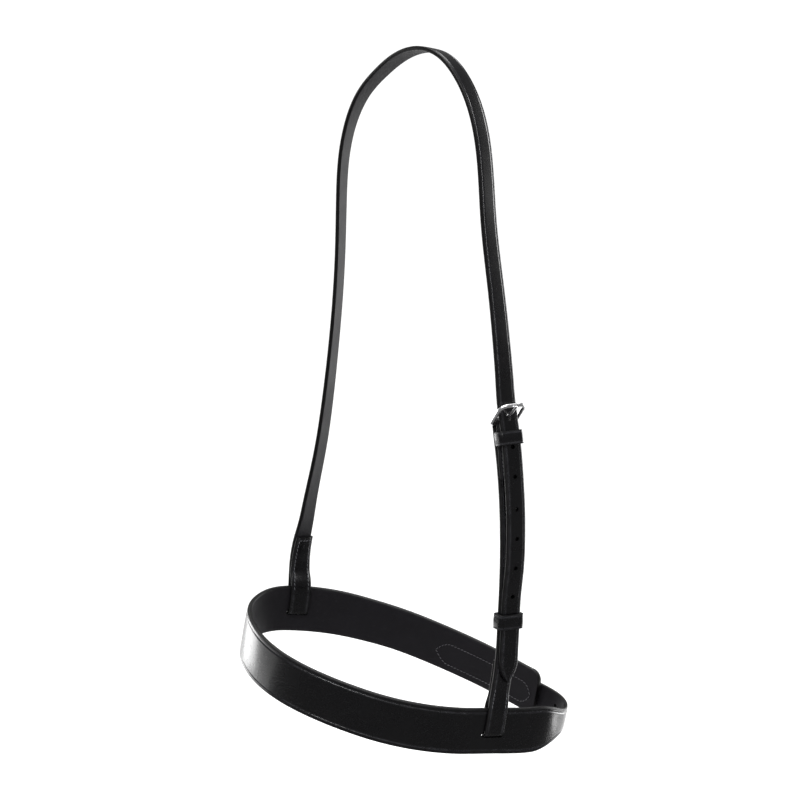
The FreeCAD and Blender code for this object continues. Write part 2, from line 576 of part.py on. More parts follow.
# ---------------------------------------------------------------- the cheek strap
def make_cheek(parts, billet, billet_thickness):
    """Cheek strap with loop and chape, its threads, keeper, runner, buckle frame and tongue."""
    main, start, thickness = loop_legs(BUCKLE_SLOT_AT, BUCKLE_LEG_GAP, BUCKLE_LEAN, CHEEK_ROUTE, CHEEK_TURN_BACK)

    def skived(s):
        """Leather thinned again towards the fold round the bar."""
        return thickness(s) - (STRAP_THICK - SKIVED_THICK) * smooth((s - main.length + 10) / 9)

    lengths = spread(0, JOIN_END, 3)[:-1] + spread(JOIN_END, main.length, 4)
    run = [compass_station(main, s, skived(s)) for s in lengths]
    orient(run)
    last = run[-1]
    fold = []
    bar = fold_round_bar(fold, last)
    radius = WIRE / 2 + BAR_CLEARANCE + SKIVED_THICK / 2
    closed = STRAP_THICK / 2 + SEWN_GAP + SKIVED_THICK / 2

    def apart(t):
        return 2 * radius + (closed - 2 * radius) * smooth((t - 3) / (CHAPE_CLOSE - 3))

    drops = spread(0, CHAPE_TURN_BACK, 2)
    beneath = orient([compass_station(main, main.length - t, STRAP_THICK) for t in drops])
    leg = [Station(b.centre - b.out * apart(t), last.across, SKIVED_THICK, STRAP_WIDTH / 2)
           for t, b in zip(drops, beneath)]
    stations = orient(start + run + fold + leg)
    cheek = strap(stations)
    opening = Part.makeBox(CHAPE_SLOT_WIDTH, 10, 2 * CHAPE_SLOT_REACH, V(-CHAPE_SLOT_WIDTH / 2, -5, -CHAPE_SLOT_REACH))
    parts["cheek_strap"] = cheek.cut(to_world(opening, bar, last.across, last.out, last.along))
    parts["cheek_loop_stitching"] = loop_thread(stations, len(start), CHEEK_TURN_BACK, CHEEK_SEAM)
    chape_rows = stations[-len(leg) + 10:-1]
    parts["cheek_chape_stitching"] = Part.makeCompound(
        [seam(chape_rows, side * (STRAP_WIDTH / 2 - SEAM_INSET), -1) for side in (-1, 1)])

    frame = buckle_frame(STRAP_WIDTH / 2 + 2.5, CHEEK_FRAME_ANGLE)
    parts["cheek_buckle_frame"] = to_world(frame, bar, last.across, last.out, last.along)
    parts["cheek_buckle_tongue"] = to_world(buckle_tongue(CHEEK_FRAME_ANGLE), bar, last.across, last.out, last.along)

    def billet_frame(s):
        return orient([compass_station(billet, s + d, STRAP_THICK) for d in (-0.5, 0, 0.5)])[1]

    at, through = crossing(lambda s: billet_frame(s).centre, [billet.length - 230 + 0.25 * k for k in range(240)],
                           bar, last.out, last.along, CHEEK_FRAME_ANGLE)
    strap_solid = cut_hole(parts["headpiece_strap"], billet_frame(at), *TONGUE_HOLE, through)
    for k in CHEEK_HOLES:
        strap_solid = cut_hole(strap_solid, billet_frame(at + k * HOLE_PITCH), HOLE_DIAMETER, HOLE_DIAMETER)
    parts["headpiece_strap"] = strap_solid

    s = main.length - CHEEK_KEEPER_AT
    here = orient([compass_station(main, s + d, STRAP_THICK) for d in (-0.5, 0, 0.5)])[1]
    floor = STRAP_THICK / 2 + SEWN_GAP + KEEPER_BASE
    over = V(*billet.at(billet.nearest(tuple(here.centre + here.out * apart(CHEEK_KEEPER_AT))))[:3])
    roof = (over - here.centre).dot(here.out) + STRAP_THICK / 2 + 0.5
    aside = (over - here.centre).dot(here.across) / 2
    keeper = leather_loop(STRAP_WIDTH / 2 + 0.3 + abs(aside), floor, roof, KEEPER_WALL, KEEPER_BASE, KEEPER_HEIGHT)
    parts["cheek_fixed_keeper"] = to_world(keeper, here.centre + here.across * aside, here.across, here.out,
                                           here.along)

    here = orient([compass_station(main, main.nearest(tuple(RUNNER_AT)) + d, STRAP_THICK) for d in (-4, 0, 4)])[1]
    runner = leather_loop(STRAP_WIDTH / 2 + RUNNER_GAP, -STRAP_THICK / 2 - RUNNER_GAP,
                          RUNNER_STACK + STRAP_THICK / 2 + RUNNER_GAP, RUNNER_WALL, RUNNER_WALL, RUNNER_HEIGHT)
    under = -STRAP_THICK / 2 - RUNNER_GAP - RUNNER_WALL - 0.02
    rows = [Part.makeBox(THREAD, THREAD / 2, RUNNER_HEIGHT - 3,
                         V(x - THREAD / 2, under - THREAD / 2, 1.5 - RUNNER_HEIGHT / 2)) for x in (-1.5, 1.5)]
    parts["cheek_runner"] = to_world(runner, RUNNER_AT, here.across, here.out, here.along)
    parts["cheek_runner_stitching"] = to_world(Part.makeCompound(rows), RUNNER_AT, here.across, here.out, here.along)
    print("cheek buckle: bar centre", bar, "axis", last.across)
    print("cheek runner: centre", RUNNER_AT, "slides along", here.along)


def main():
    """Build every piece and write one STEP file for each."""
    os.makedirs("parts", exist_ok=True)
    parts = {}
    make_noseband(parts)
    billet, thickness = make_headpiece(parts)
    make_cheek(parts, billet, thickness)
    for name, shape in sorted(parts.items()):
        shape.exportStep(os.path.join("parts", name + ".step"))
        print(f"{name}: {len(shape.Solids)} solids, {shape.Volume:.0f} mm3, valid {shape.isValid()}")


main()
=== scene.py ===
# %% [markdown]
# # A black leather noseband on its headpiece
# A wide band closes round the horse's nose. A narrow strap goes up one cheek, over the poll and down to a
# buckle on the other cheek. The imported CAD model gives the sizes, the buckles and the bodies that move.
# Leather is what this lesson is about: every strap is made again here with rounded, creased edges.

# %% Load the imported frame
import json
import math

import bpy
import numpy as np
from mathutils import Matrix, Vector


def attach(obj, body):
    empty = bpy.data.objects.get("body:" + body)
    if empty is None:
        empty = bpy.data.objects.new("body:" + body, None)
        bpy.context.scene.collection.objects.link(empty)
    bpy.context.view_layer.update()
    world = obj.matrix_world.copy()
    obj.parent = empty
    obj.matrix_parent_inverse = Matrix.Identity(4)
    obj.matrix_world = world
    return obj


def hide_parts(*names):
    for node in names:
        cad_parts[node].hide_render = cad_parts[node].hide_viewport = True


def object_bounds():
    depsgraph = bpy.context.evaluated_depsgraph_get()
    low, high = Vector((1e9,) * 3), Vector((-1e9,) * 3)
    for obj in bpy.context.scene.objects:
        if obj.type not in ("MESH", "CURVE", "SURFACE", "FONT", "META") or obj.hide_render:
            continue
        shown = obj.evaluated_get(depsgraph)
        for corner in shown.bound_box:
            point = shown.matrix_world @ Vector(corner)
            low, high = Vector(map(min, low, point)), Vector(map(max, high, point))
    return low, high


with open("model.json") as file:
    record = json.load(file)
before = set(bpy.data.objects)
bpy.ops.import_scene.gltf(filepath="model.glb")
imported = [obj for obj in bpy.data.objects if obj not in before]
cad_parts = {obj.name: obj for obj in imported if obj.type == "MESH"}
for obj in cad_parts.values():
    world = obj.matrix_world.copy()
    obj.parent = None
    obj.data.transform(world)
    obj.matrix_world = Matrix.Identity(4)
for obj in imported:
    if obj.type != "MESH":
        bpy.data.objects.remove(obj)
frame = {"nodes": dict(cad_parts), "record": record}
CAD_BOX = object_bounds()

MM = 0.001

# %% [markdown]
# ## Driving sizes
# These are the saddler's choices: widths and thicknesses of the leathers, and how far the edge crease lies
# from the edge. They are the same ones that the CAD model was made from, here in metres.

# %% Driving sizes
STRAP_WIDTH = 16 * MM
STRAP_THICK = 3.2 * MM
SKIVED_THICK = 2.2 * MM
BAND_WIDTH = 37.5 * MM
BACK_WIDTH = 34.5 * MM
BAND_THICK = 3.6 * MM
BILLET_WIDTH = 20 * MM
BILLET_THICK = 3.0 * MM
HOLE_PITCH = 22.5 * MM
HOLE_DIAMETER = 3.4 * MM
TONGUE_HOLE = (3.2 * MM, 5.8 * MM)
SEWN_GAP = 0.05 * MM
SLOT_HEIGHT = 4.8 * MM
SLOT_LENGTH = 17.6 * MM
SLOT_BELOW_MIDDLE = 2.4 * MM
FOLD_RADIUS = (1.5 + 0.08 + 1.1) * MM
SAFE_THICK = 1.6 * MM
SAFE_WIDTH = 21 * MM
CHAPE_WIDTH = 20 * MM
CHAPE_LOW = 2 * MM
SEAM_INSET = 2.6 * MM
STITCH_PITCH = 3.0 * MM
THREAD = 0.62 * MM
THREAD_LIFT = 0.12 * MM
CORNER = 7 * MM
NARROW_AFTER_SLOT, NARROW_LENGTH = 34 * MM, 44 * MM
WIDEN_FROM, WIDEN_LENGTH = 130 * MM, 90 * MM
TIP_END = 0.8 * MM
SKIVE_LENGTH = 8 * MM
PLAIN_LEG_GAP, PLAIN_LEAN = 0.95 * MM, 1.1 * MM
BUCKLE_LEG_GAP, BUCKLE_LEAN = 0.35 * MM, -0.6 * MM
PLAIN_SEWN_TO, BUCKLE_SEWN_TO = 39 * MM, 33 * MM
BAND_CREASE, STRAP_CREASE, CHAPE_CREASE = 3.4 * MM, 2.3 * MM, 2.0 * MM
SAFE_CREASE, KEEPER_CREASE = 1.6 * MM, 1.4 * MM
BAND_FULLNESS, STRAP_FULLNESS = 0.25 * MM, 0.12 * MM
TONGUE_GAP = (5 * MM, 12 * MM)
KEEPER_WALL, KEEPER_BASE, KEEPER_HEIGHT = 1.5 * MM, 1.0 * MM, 10.5 * MM
RUNNER_WALL, RUNNER_HEIGHT, RUNNER_SLACK = 1.9 * MM, 11.5 * MM, 0.75 * MM
FOLD_TURN = np.radians(np.arange(9, 172, 9))[:, None]
NEIGHBOURS = np.array([-0.5, 0, 0.5]) * MM

# %% [markdown]
# ## Routes
# A strap follows a smooth line through a few points. A natural cubic gives that line: it has no sudden
# change of bend, as leather has none. The noseband's line lies in one tilted plane, and its last stretch, the
# billet, runs beside its first, the wide end.

# %% Smooth lines
def second_derivatives(knots, values):
    """Second derivatives of the natural cubic: solves the three-term system of equal slopes at each knot."""
    gaps = np.diff(knots)
    count = len(knots)
    system = np.eye(count)
    right = np.zeros_like(values)
    inner = np.arange(1, count - 1)
    system[inner, inner - 1] = gaps[:-1]
    system[inner, inner] = 2 * (gaps[:-1] + gaps[1:])
    system[inner, inner + 1] = gaps[1:]
    slopes = np.diff(values, axis=0) / gaps[:, None]
    right[1:-1] = 6 * np.diff(slopes, axis=0)
    return np.linalg.solve(system, right)


class Route:
    """Natural cubic through points, measured along by the straight distances between them."""

    def __init__(self, points, measured=3):
        self.points = np.array(points, float)
        steps = np.linalg.norm(np.diff(self.points[:, :measured], axis=0), axis=1)
        self.knots = np.concatenate([[0], np.cumsum(steps)])
        self.bends = second_derivatives(self.knots, self.points)
        self.length = self.knots[-1]

    def at(self, s):
        """Points at the lengths s."""
        s = np.atleast_1d(np.asarray(s, float))
        i = np.clip(np.searchsorted(self.knots, s) - 1, 0, len(self.knots) - 2)
        span = (self.knots[i + 1] - self.knots[i])[:, None]
        a = (self.knots[i + 1][:, None] - s[:, None]) / span
        b = 1 - a
        cubic = ((a ** 3 - a) * self.bends[i] + (b ** 3 - b) * self.bends[i + 1]) * span ** 2 / 6
        return a * self.points[i] + b * self.points[i + 1] + cubic

    def nearest(self, target):
        """Length at which the line passes nearest to the target."""
        lengths = np.arange(0, self.length, 0.25 * MM)
        return lengths[np.argmin(np.linalg.norm(self.at(lengths)[:, :len(target)] - target, axis=1))]


def smooth(u):
    """Ease from 0 to 1: three u squared less two u cubed."""
    u = np.clip(u, 0, 1)
    return u * u * (3 - 2 * u)


def spread(start, stop, step):
    """Even steps from start to stop, both included."""
    return np.linspace(start, stop, max(1, round(abs(stop - start) / step)) + 1)


def unit(v):
    return v / np.linalg.norm(v, axis=-1, keepdims=True)


def placed(points):
    """Route points from millimetres to metres; a fourth value, an angle in degrees, stays as it is."""
    points = np.array(points, float)
    points[:, :3] *= MM
    return points


# %% The noseband's line
TILT = math.radians(15)
RING_ORIGIN = np.array([-41.3, 0, -469.2]) * MM
RING_X = np.array([math.cos(TILT), 0, -math.sin(TILT)])
RING_Y = np.array([0.0, 1, 0])
RING_UP = np.array([math.sin(TILT), 0, math.cos(TILT)])

BAND_ROUTE = np.array([
    (82.5, 79.5), (58, 77.3), (32, 74.2), (6, 69), (-20, 62), (-44, 53.5), (-68, 41), (-90, 25.5),
    (-106, 5), (-113.5, -18), (-107.5, -43), (-91, -65.5), (-68, -81), (-40, -91), (-10, -93.5), (20, -88.5),
    (48, -78.5), (75, -63), (95, -43), (109, -19), (117, 4), (124.5, 25.5), (127, 43), (124, 61),
    (116, 77), (101, 85.5),
]) * MM
BILLET_LAY = np.array([
    (3, 6.2), (10, 6.0), (18, 6.8), (26, 9.4), (34, 12.95), (42, 12.4), (50, 10.8), (58, 10.0), (70, 9.9),
    (84, 9.9), (98, 9.8), (112, 7.0), (126, 4.6), (140, 3.75), (152, 3.75), (160, 3.75),
]) * MM
WIDE_END = Route(BAND_ROUTE, 2)


def beside(s, distance):
    """Points at a distance outside the wide end, along its outward normal."""
    here = WIDE_END.at(s)
    ahead = unit(WIDE_END.at(np.asarray(s) + 0.5 * MM) - here)
    return here + np.column_stack([ahead[:, 1], -ahead[:, 0]]) * np.reshape(distance, (-1, 1))


BAND = Route(np.vstack([BAND_ROUTE, beside(BILLET_LAY[:, 0], BILLET_LAY[:, 1])]), 2)
PLAIN_SLOT_AT = BAND.nearest(np.array([-108.8, 0.4]) * MM)
BUCKLE_SLOT_AT = BAND.nearest(np.array([116.6, 3.0]) * MM)
SAFE_SPAN = (5.5 * MM, 100 * MM)
BAND_BAR_AT = 34 * MM
CHAPE_END = 98 * MM
BAND_KEEPERS_AT = (62 * MM, 84 * MM)
TIP_LENGTH = 16 * MM
print("noseband route", round(BAND.length, 4), "m; slots at", round(PLAIN_SLOT_AT, 4), round(BUCKLE_SLOT_AT, 4))

# %% The headpiece's line and the cheek strap's
HEADPIECE_ROUTE = placed([
    (-144.8, 1.6, -402.0, 80), (-142.9, 2.6, -387.4, 88), (-139.2, 3.0, -375.0, 96), (-132.9, 2.4, -355.0, 104),
    (-120.6, 2.0, -314.3, 110), (-111.4, 1.6, -274.6, 113), (-104.4, 1.2, -235.3, 116),
    (-98.9, 0.9, -196.2, 117), (-95.6, 0.8, -157.9, 117), (-94.0, 0.7, -119.8, 116), (-91.0, 0.5, -87.8, 114),
    (-82.6, 0.4, -59.8, 111), (-67.2, 0.2, -35.9, 105), (-49.0, 0.1, -20.0, 98), (-27.0, 0, -6.0, 92),
    (0, 0, 1.6, 90), (22.3, 0.1, -2.4, 91), (38.7, 0.3, -14.8, 93), (50.6, 0.6, -31.3, 95),
    (57.0, 0.9, -46.0, 96), (61.4, 1.2, -63.0, 97), (64.3, 1.7, -87.4, 97), (66.9, 2.3, -122.0, 96),
    (70.6, 3.0, -150.0, 95), (74.9, 3.6, -178.0, 93), (78.4, 4.2, -206.0, 90), (81.0, 5.0, -234.0, 86),
    (82.5, 5.5, -252.0, 83), (85.1, 5.9, -267.5, 81), (87.1, 6.0, -279.0, 80), (89.0, 6.0, -292.0, 80),
    (90.7, 6.0, -308.0, 80), (92.4, 6.0, -332.0, 80), (92.6, 6.0, -354.0, 80), (91.2, 6.0, -376.0, 80),
    (88.1, 6.0, -398.0, 80), (87.2, 6.0, -412.0, 80), (86.3, 6.0, -426.0, 80), (85.4, 6.0, -440.0, 80),
    (84.6, 6.0, -452.0, 80), (84.0, 6.0, -461.2, 80),
])
CHEEK_ROUTE = placed([
    (78.7, 3.2, -471.0, 260), (80.4, 4.8, -456.0, 260), (82.0, 5.8, -438.4, 260), (82.95, 6.0, -424.0, 260),
    (84.0, 6.0, -408.0, 260), (85.05, 6.0, -392.0, 260), (86.0, 6.0, -364.0, 260), (85.6, 6.0, -336.0, 260),
    (83.5, 6.0, -308.0, 260), (81.0, 6.2, -291.0, 260), (78.6, 6.5, -279.0, 260), (75.9, 6.9, -267.5, 260),
])
HEADPIECE_TURN_BACK = 57 * MM
CHEEK_TURN_BACK = 56 * MM
CHAPE_TURN_BACK = 41 * MM
JOIN_START = 18.5 * MM
JOIN_END = 31 * MM
CROWN_ROLL = 12.0


# %% [markdown]
# ## Stations
# A strap is a row of cross-sections, or stations. Each has its centre, the direction of its width, half its
# width and its thickness. The direction of travel comes from the neighbours, and the outward direction is
# square to both. All stations of a strap are worked out at once, as arrays.

# %% Stations
class Stations:
    """Cross-sections along a strap, as arrays: centre, across, half, thick, and from them along and out."""

    def __init__(self, centre, across, half, thick):
        count = len(centre)
        self.centre = np.asarray(centre, float)
        self.half = np.broadcast_to(half, count).astype(float)
        self.thick = np.broadcast_to(thick, count).astype(float)
        travel = np.empty_like(self.centre)
        travel[1:-1] = self.centre[2:] - self.centre[:-2]
        travel[0] = self.centre[1] - self.centre[0]
        travel[-1] = self.centre[-1] - self.centre[-2]
        self.along = unit(travel)
        self.out = unit(np.cross(self.along, np.broadcast_to(across, self.centre.shape)))
        self.across = np.cross(self.out, self.along)
        steps = np.linalg.norm(np.diff(self.centre, axis=0), axis=1)
        self.length = np.concatenate([[0], np.cumsum(steps)])

    def point(self, across, out):
        """Points moved sideways and outwards from the centres."""
        return self.centre + self.across * np.reshape(across, (-1, 1)) + self.out * np.reshape(out, (-1, 1))

    def part(self, chosen):
        """The chosen stations only."""
        return Stations(self.centre[chosen], self.across[chosen], self.half[chosen], self.thick[chosen])


def ring(xy, up):
    """World points from the noseband's own plane."""
    return RING_ORIGIN + xy[:, :1] * RING_X + xy[:, 1:2] * RING_Y + np.reshape(up, (-1, 1)) * RING_UP


def point_half(width, to_end, length):
    """Half width of a strap's point: a parabola that closes over the last stretch."""
    u = np.clip(1 - to_end / length, 0, 1)
    return np.maximum(width / 2 * (1 - u * u), TIP_END)


def band_stations(s):
    """The noseband: its width tapers to the billet, and it ends in a point."""
    s = np.asarray(s, float)
    narrowing = smooth((s - BUCKLE_SLOT_AT - NARROW_AFTER_SLOT) / NARROW_LENGTH)
    full = BACK_WIDTH + (BAND_WIDTH - BACK_WIDTH) * smooth((s - WIDEN_FROM) / WIDEN_LENGTH)
    width = full + (BILLET_WIDTH - full) * narrowing
    half = point_half(width, BAND.length - s, TIP_LENGTH)
    rounding = np.clip(CORNER - s, 0, CORNER)
    half = half - CORNER + np.sqrt(CORNER ** 2 - rounding ** 2)
    up = (BAND_WIDTH - full) / 2 - CHAPE_LOW * narrowing
    thick = BAND_THICK + (BILLET_THICK - BAND_THICK) * narrowing
    return Stations(ring(BAND.at(s), up), RING_UP, half, thick)


def over_band(s, distance, half, thick):
    """A leather that lies outside the wide end."""
    return Stations(ring(beside(s, distance), np.full(len(s), -CHAPE_LOW)), RING_UP, half, thick)


def compass_across(route, s):
    """Width direction from a route's compass angle, leaning over near the crown."""
    values = route.at(s)
    turn = np.radians(values[:, 3])
    roll = math.radians(CROWN_ROLL) * smooth((values[:, 2] + 0.11) / 0.11)
    level = np.cos(roll)
    return np.column_stack([np.cos(turn) * level, np.sin(turn) * level, -np.sin(roll)])


def around_bar(centre, along, out, sign):
    """A buckle's bar, beside a strap's end, and the points of the half turn that the strap makes round it."""
    bar = centre + out * FOLD_RADIUS * sign
    return bar, bar - out * FOLD_RADIUS * sign * np.cos(FOLD_TURN) + along * FOLD_RADIUS * np.sin(FOLD_TURN)


def strap_along(route, s, thick=STRAP_THICK):
    """Stations of the narrow strap at the lengths s of a route that carries compass angles."""
    return Stations(route.at(s)[:, :3], compass_across(route, s), STRAP_WIDTH / 2, thick)


def loop_through(slot_at, leg_gap, lean, route, turn_back):
    """A strap down outside the band, through its slot and up inside, sewn to itself above the band.

    Gives the outer leg's route with the main run, and the centres and widths' directions of the inner leg
    and the turn.
    """
    here = band_stations(slot_at + NEIGHBOURS).part([0, 1, 2])
    along, out = here.along[1], here.out[1]
    reach = BAND_THICK / 2 + leg_gap + SKIVED_THICK / 2
    base = here.centre[1] + RING_UP * 0.2 * MM + out * reach
    heading = math.degrees(math.atan2(along[1], along[0]))
    heading += 180 * round((route[0][3] - heading) / 180)
    ups = np.array([0, 6 * MM, 12 * MM, JOIN_START])
    points = base + ups[:, None] * RING_UP + along * (lean * (ups / JOIN_START) ** 2)[:, None]
    main = Route(np.vstack([np.column_stack([points, np.full(4, heading)]), route]))
    s = spread(0, turn_back, 1.5 * MM)
    outer = strap_along(main, s, leg_thickness(s))
    closed = STRAP_THICK / 2 + SEWN_GAP + SKIVED_THICK / 2
    apart = 2 * reach + (closed - 2 * reach) * smooth((s - JOIN_START) / (JOIN_END - JOIN_START))
    inner = outer.centre - outer.out * apart[:, None]
    turn = outer.centre[0] - outer.out[0] * reach * (1 + np.cos(FOLD_TURN))
    turn = turn - RING_UP * reach * np.sin(FOLD_TURN)
    centres = np.vstack([inner[::-1], turn])
    across = np.vstack([outer.across[::-1], np.repeat(outer.across[:1], len(turn), axis=0)])
    return main, centres, across


def leg_thickness(s):
    """Skived leather at the loop, full leather beyond its join."""
    return SKIVED_THICK + (STRAP_THICK - SKIVED_THICK) * smooth((s - JOIN_START) / SKIVE_LENGTH)


# %% [markdown]
# ## Leather from stations
# A saddler rounds and burnishes the edges of bridle leather, and presses a crease line beside each edge. So
# the cross-section isn't a plain rectangle: it has round corners, a groove with a soft ridge on each side of
# it, and a slightly full middle. The outer face, the edges and the flesh side get finishes of their own.

# %% The cross-section and the sweep
def section_profile(thick, crease, full, both=False):
    """Closed outline from one edge over the outer face to the other edge and back along the inner face.

    Each row is (side, distance from the edge, share of half the thickness, height added, finish). Corners are
    quarter turns: distance = r(1 - cos t), height = r(sin t - 1). The crease is a groove between two ridges.
    """
    r = 0.36 * thick
    turns = np.radians([15, 40, 65, 90])
    corner = [(r * (1 - math.cos(t)), r * (math.sin(t) - 1)) for t in turns]
    lines = [
        (crease - 1.1 * MM, 0.05 * MM), (crease - 0.55 * MM, 0.10 * MM), (crease - 0.2 * MM, -0.12 * MM),
        (crease, -0.28 * MM), (crease + 0.2 * MM, -0.12 * MM), (crease + 0.55 * MM, 0.12 * MM),
        (crease + 1.4 * MM, 0.10 * MM + full / 2),
    ]
    flat = [(crease, 0.0), (crease + 1.4 * MM, 0.0)]
    outer = [(d, 1, h, 1) for d, h in corner[:3]] + [(corner[3][0], 1, 0, 0)]
    outer += [(d, 1, h, 0) for d, h in lines]
    inner_lines = lines if both else flat
    inner = [(d, -1, -h, 1) for d, h in corner[:3]] + [(corner[3][0], -1, 0, 2)] + [
        (d, -1, -h, 2) for d, h in inner_lines]
    rows = [(1, 0, 0, 0, 1)]
    rows += [(1,) + row for row in outer] + [(0, 1, 1, 0.1 * MM + full, 0)]
    rows += [(-1,) + row for row in outer[::-1]] + [(-1, 0, 0, 0, 1)]
    rows += [(-1,) + row for row in inner] + [(0, 1, -1, 0, 2)]
    rows += [(1,) + row for row in inner[::-1]]
    return np.array(rows, float)


def new_object(name, data):
    """Object that holds the data, placed in the scene."""
    thing = bpy.data.objects.new(name, data)
    bpy.context.scene.collection.objects.link(thing)
    return thing


def finish_mesh(name, points, faces, finishes, uv, materials):
    """Mesh object from flat arrays: vertices, quads with caps, material index and UV per corner."""
    mesh = bpy.data.meshes.new(name)
    mesh.from_pydata(points.tolist(), [], faces)
    mesh.polygons.foreach_set("material_index", np.asarray(finishes, np.int32))
    corners = np.empty(len(mesh.loops), np.int32)
    mesh.loops.foreach_get("vertex_index", corners)
    layer = mesh.uv_layers.new(name="leather_uv")
    layer.data.foreach_set("uv", uv[corners].astype(np.float32).ravel())
    mesh.shade_smooth()
    mesh.update()
    for material in materials:
        mesh.materials.append(material)
    return new_object(name, mesh)


def grid_quads(rows, columns, wrap_rows=False):
    """Corner numbers of the quads of a grid whose columns close on themselves."""
    i = np.arange(rows if wrap_rows else rows - 1)[:, None]
    j = np.arange(columns)[None, :]
    a = i * columns + j
    b = i * columns + (j + 1) % columns
    next_row = ((i + 1) % rows) * columns
    return np.stack([a, b, next_row + (j + 1) % columns, next_row + j], axis=-1).reshape(-1, 4)


def outward(points, faces):
    """Faces turned so that the closed shape they bound has a positive volume."""
    quads = np.array([f for f in faces if len(f) == 4])
    a, b, c, d = (points[quads[:, k]] for k in range(4))
    volume = np.sum(a * np.cross(b, c)) + np.sum(a * np.cross(c, d))
    return [f[::-1] for f in faces] if volume < 0 else faces


def leather(name, stations, crease, full, materials, both=False):
    """Strap swept along its stations: point = centre + across * side * (half - distance) + out * height."""
    profile = section_profile(float(np.median(stations.thick)), crease, full, both)
    side, distance, share, height, finish = profile.T
    fit = np.minimum(1, stations.half / (crease + 2.2 * MM))[:, None]
    wide = side * (stations.half[:, None] - distance * fit)
    high = share * stations.thick[:, None] / 2 + height * fit
    points = (stations.centre[:, None] + stations.across[:, None] * wide[..., None]
              + stations.out[:, None] * high[..., None])
    rows, columns = wide.shape
    quads = grid_quads(rows, columns)
    ends = [list(range(columns))[::-1], list(range((rows - 1) * columns, rows * columns))]
    segment = np.where((finish == 1) | (np.roll(finish, -1) == 1), 1, finish)
    finishes = np.concatenate([np.tile(segment, rows - 1), [1, 1]])
    faces = outward(points.reshape(-1, 3), quads.tolist() + ends)
    from_edge = np.where(side == 0, crease + 4 * MM, distance)
    uv = np.stack([np.repeat(stations.length, columns), np.tile(from_edge, rows)], axis=1)
    thing = finish_mesh(name, points.reshape(-1, 3), faces, finishes, uv, materials)
    print(name, rows, "stations,", len(faces), "faces,", round(stations.length[-1], 3), "m long")
    return thing


# %% [markdown]
# ## Holes and slots
# Holes are punched and slots are cut right through the leather, so they are real openings in the mesh. One
# boolean takes all plugs of a strap away at once, and its result is kept as the mesh.

# %% Punching
def plug(centre, across, out, along, size_across, size_along, depth):
    """Round-ended plug: a circle whose halves are moved apart along its longer way, carried through."""
    radius = min(size_across, size_along) / 2
    angle = np.linspace(0, 2 * math.pi, 32, endpoint=False) + math.pi / 32
    x = radius * np.cos(angle) + (size_across / 2 - radius) * np.sign(np.cos(angle))
    y = radius * np.sin(angle) + (size_along / 2 - radius) * np.sign(np.sin(angle))
    loop = centre + x[:, None] * across + y[:, None] * along
    points = np.vstack([loop - out * depth / 2, loop + out * depth / 2])
    faces = grid_quads(2, 32).tolist() + [list(range(32))[::-1], list(range(32, 64))]
    return points, outward(points, faces)


def plug_at(line, k, size, depth):
    """Plug square to a strap at its station k."""
    return plug(line.centre[k], line.across[k], line.out[k], line.along[k], size[0], size[1], depth)


def billet_holes(line, lengths, used, numbers, depth, before=0):
    """Plugs of a billet's holes, numbered from the one that the tongue is in; that one is longer.

    Lengths belong to the stations after the first few, whose number is before.
    """
    plugs = []
    for number in numbers:
        away = abs(lengths - lengths[used - before] - number * HOLE_PITCH)
        size = TONGUE_HOLE if number == 0 else (HOLE_DIAMETER, HOLE_DIAMETER)
        plugs.append(plug_at(line, before + int(np.argmin(away)), size, depth))
    return plugs


def punch(thing, plugs, material_index):
    """Takes the plugs out of a strap. The walls of the holes get the given finish."""
    points = np.vstack([p for p, _ in plugs])
    faces = []
    start = 0
    for p, f in plugs:
        faces += [[start + k for k in face] for face in f]
        start += len(p)
    mesh = bpy.data.meshes.new("plugs")
    mesh.from_pydata(points.tolist(), [], faces)
    for material in thing.data.materials:
        mesh.materials.append(material)
    mesh.polygons.foreach_set("material_index", np.full(len(faces), material_index, np.int32))
    mesh.update()
    cutter = new_object("plugs", mesh)
    cut = thing.modifiers.new("punch", "BOOLEAN")
    cut.operation = "DIFFERENCE"
    cut.solver = "EXACT"
    cut.object = cutter
    bpy.context.view_layer.update()
    result = bpy.data.meshes.new_from_object(thing.evaluated_get(bpy.context.evaluated_depsgraph_get()))
    thing.modifiers.clear()
    thing.data = result
    result.name = thing.name
    result.set_sharp_from_angle(angle=math.radians(50))
    bpy.data.objects.remove(cutter)
    print("punched", thing.name, len(plugs), "openings,", len(result.polygons), "faces")


def tongue_line(node, joint_name):
    """Centre of a buckle's bar and the direction in which its tongue points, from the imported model."""
    joint = next(j for j in frame["record"]["behaviour"]["joints"] if j["name"] == joint_name)
    bar = np.array(joint["pos_m"], float)
    mesh = frame["nodes"][node].data
    points = np.empty(len(mesh.vertices) * 3)
    mesh.vertices.foreach_get("co", points)
    away = points.reshape(-1, 3) - bar
    far = np.linalg.norm(away, axis=1)
    tip = away[far > far.max() - 0.4 * MM].mean(axis=0)
    return bar, unit(tip)


def where_crossed(centres, bar, direction):
    """Number of the station nearest to the tongue's line."""
    away = centres - bar
    return int(np.argmin(np.linalg.norm(away - np.outer(away @ direction, direction), axis=1)))


# %% [markdown]
# ## Finishes
# Three shared effects are node groups: pebbled grain with pores, a soft lighter line along creases that is a
# painted highlight, and fine handling scuffs. Each leather uses them with its own values.

# %% Shared effects
def new_group(name, inputs, outputs):
    """Empty shader node group with named number inputs and named outputs."""
    group = bpy.data.node_groups.new(name, "ShaderNodeTree")
    for label, value in inputs:
        socket = group.interface.new_socket(name=label, in_out="INPUT", socket_type="NodeSocketFloat")
        socket.default_value = value
    for label in outputs:
        group.interface.new_socket(name=label, in_out="OUTPUT", socket_type="NodeSocketFloat")
    return group, group.nodes.new("NodeGroupInput"), group.nodes.new("NodeGroupOutput")


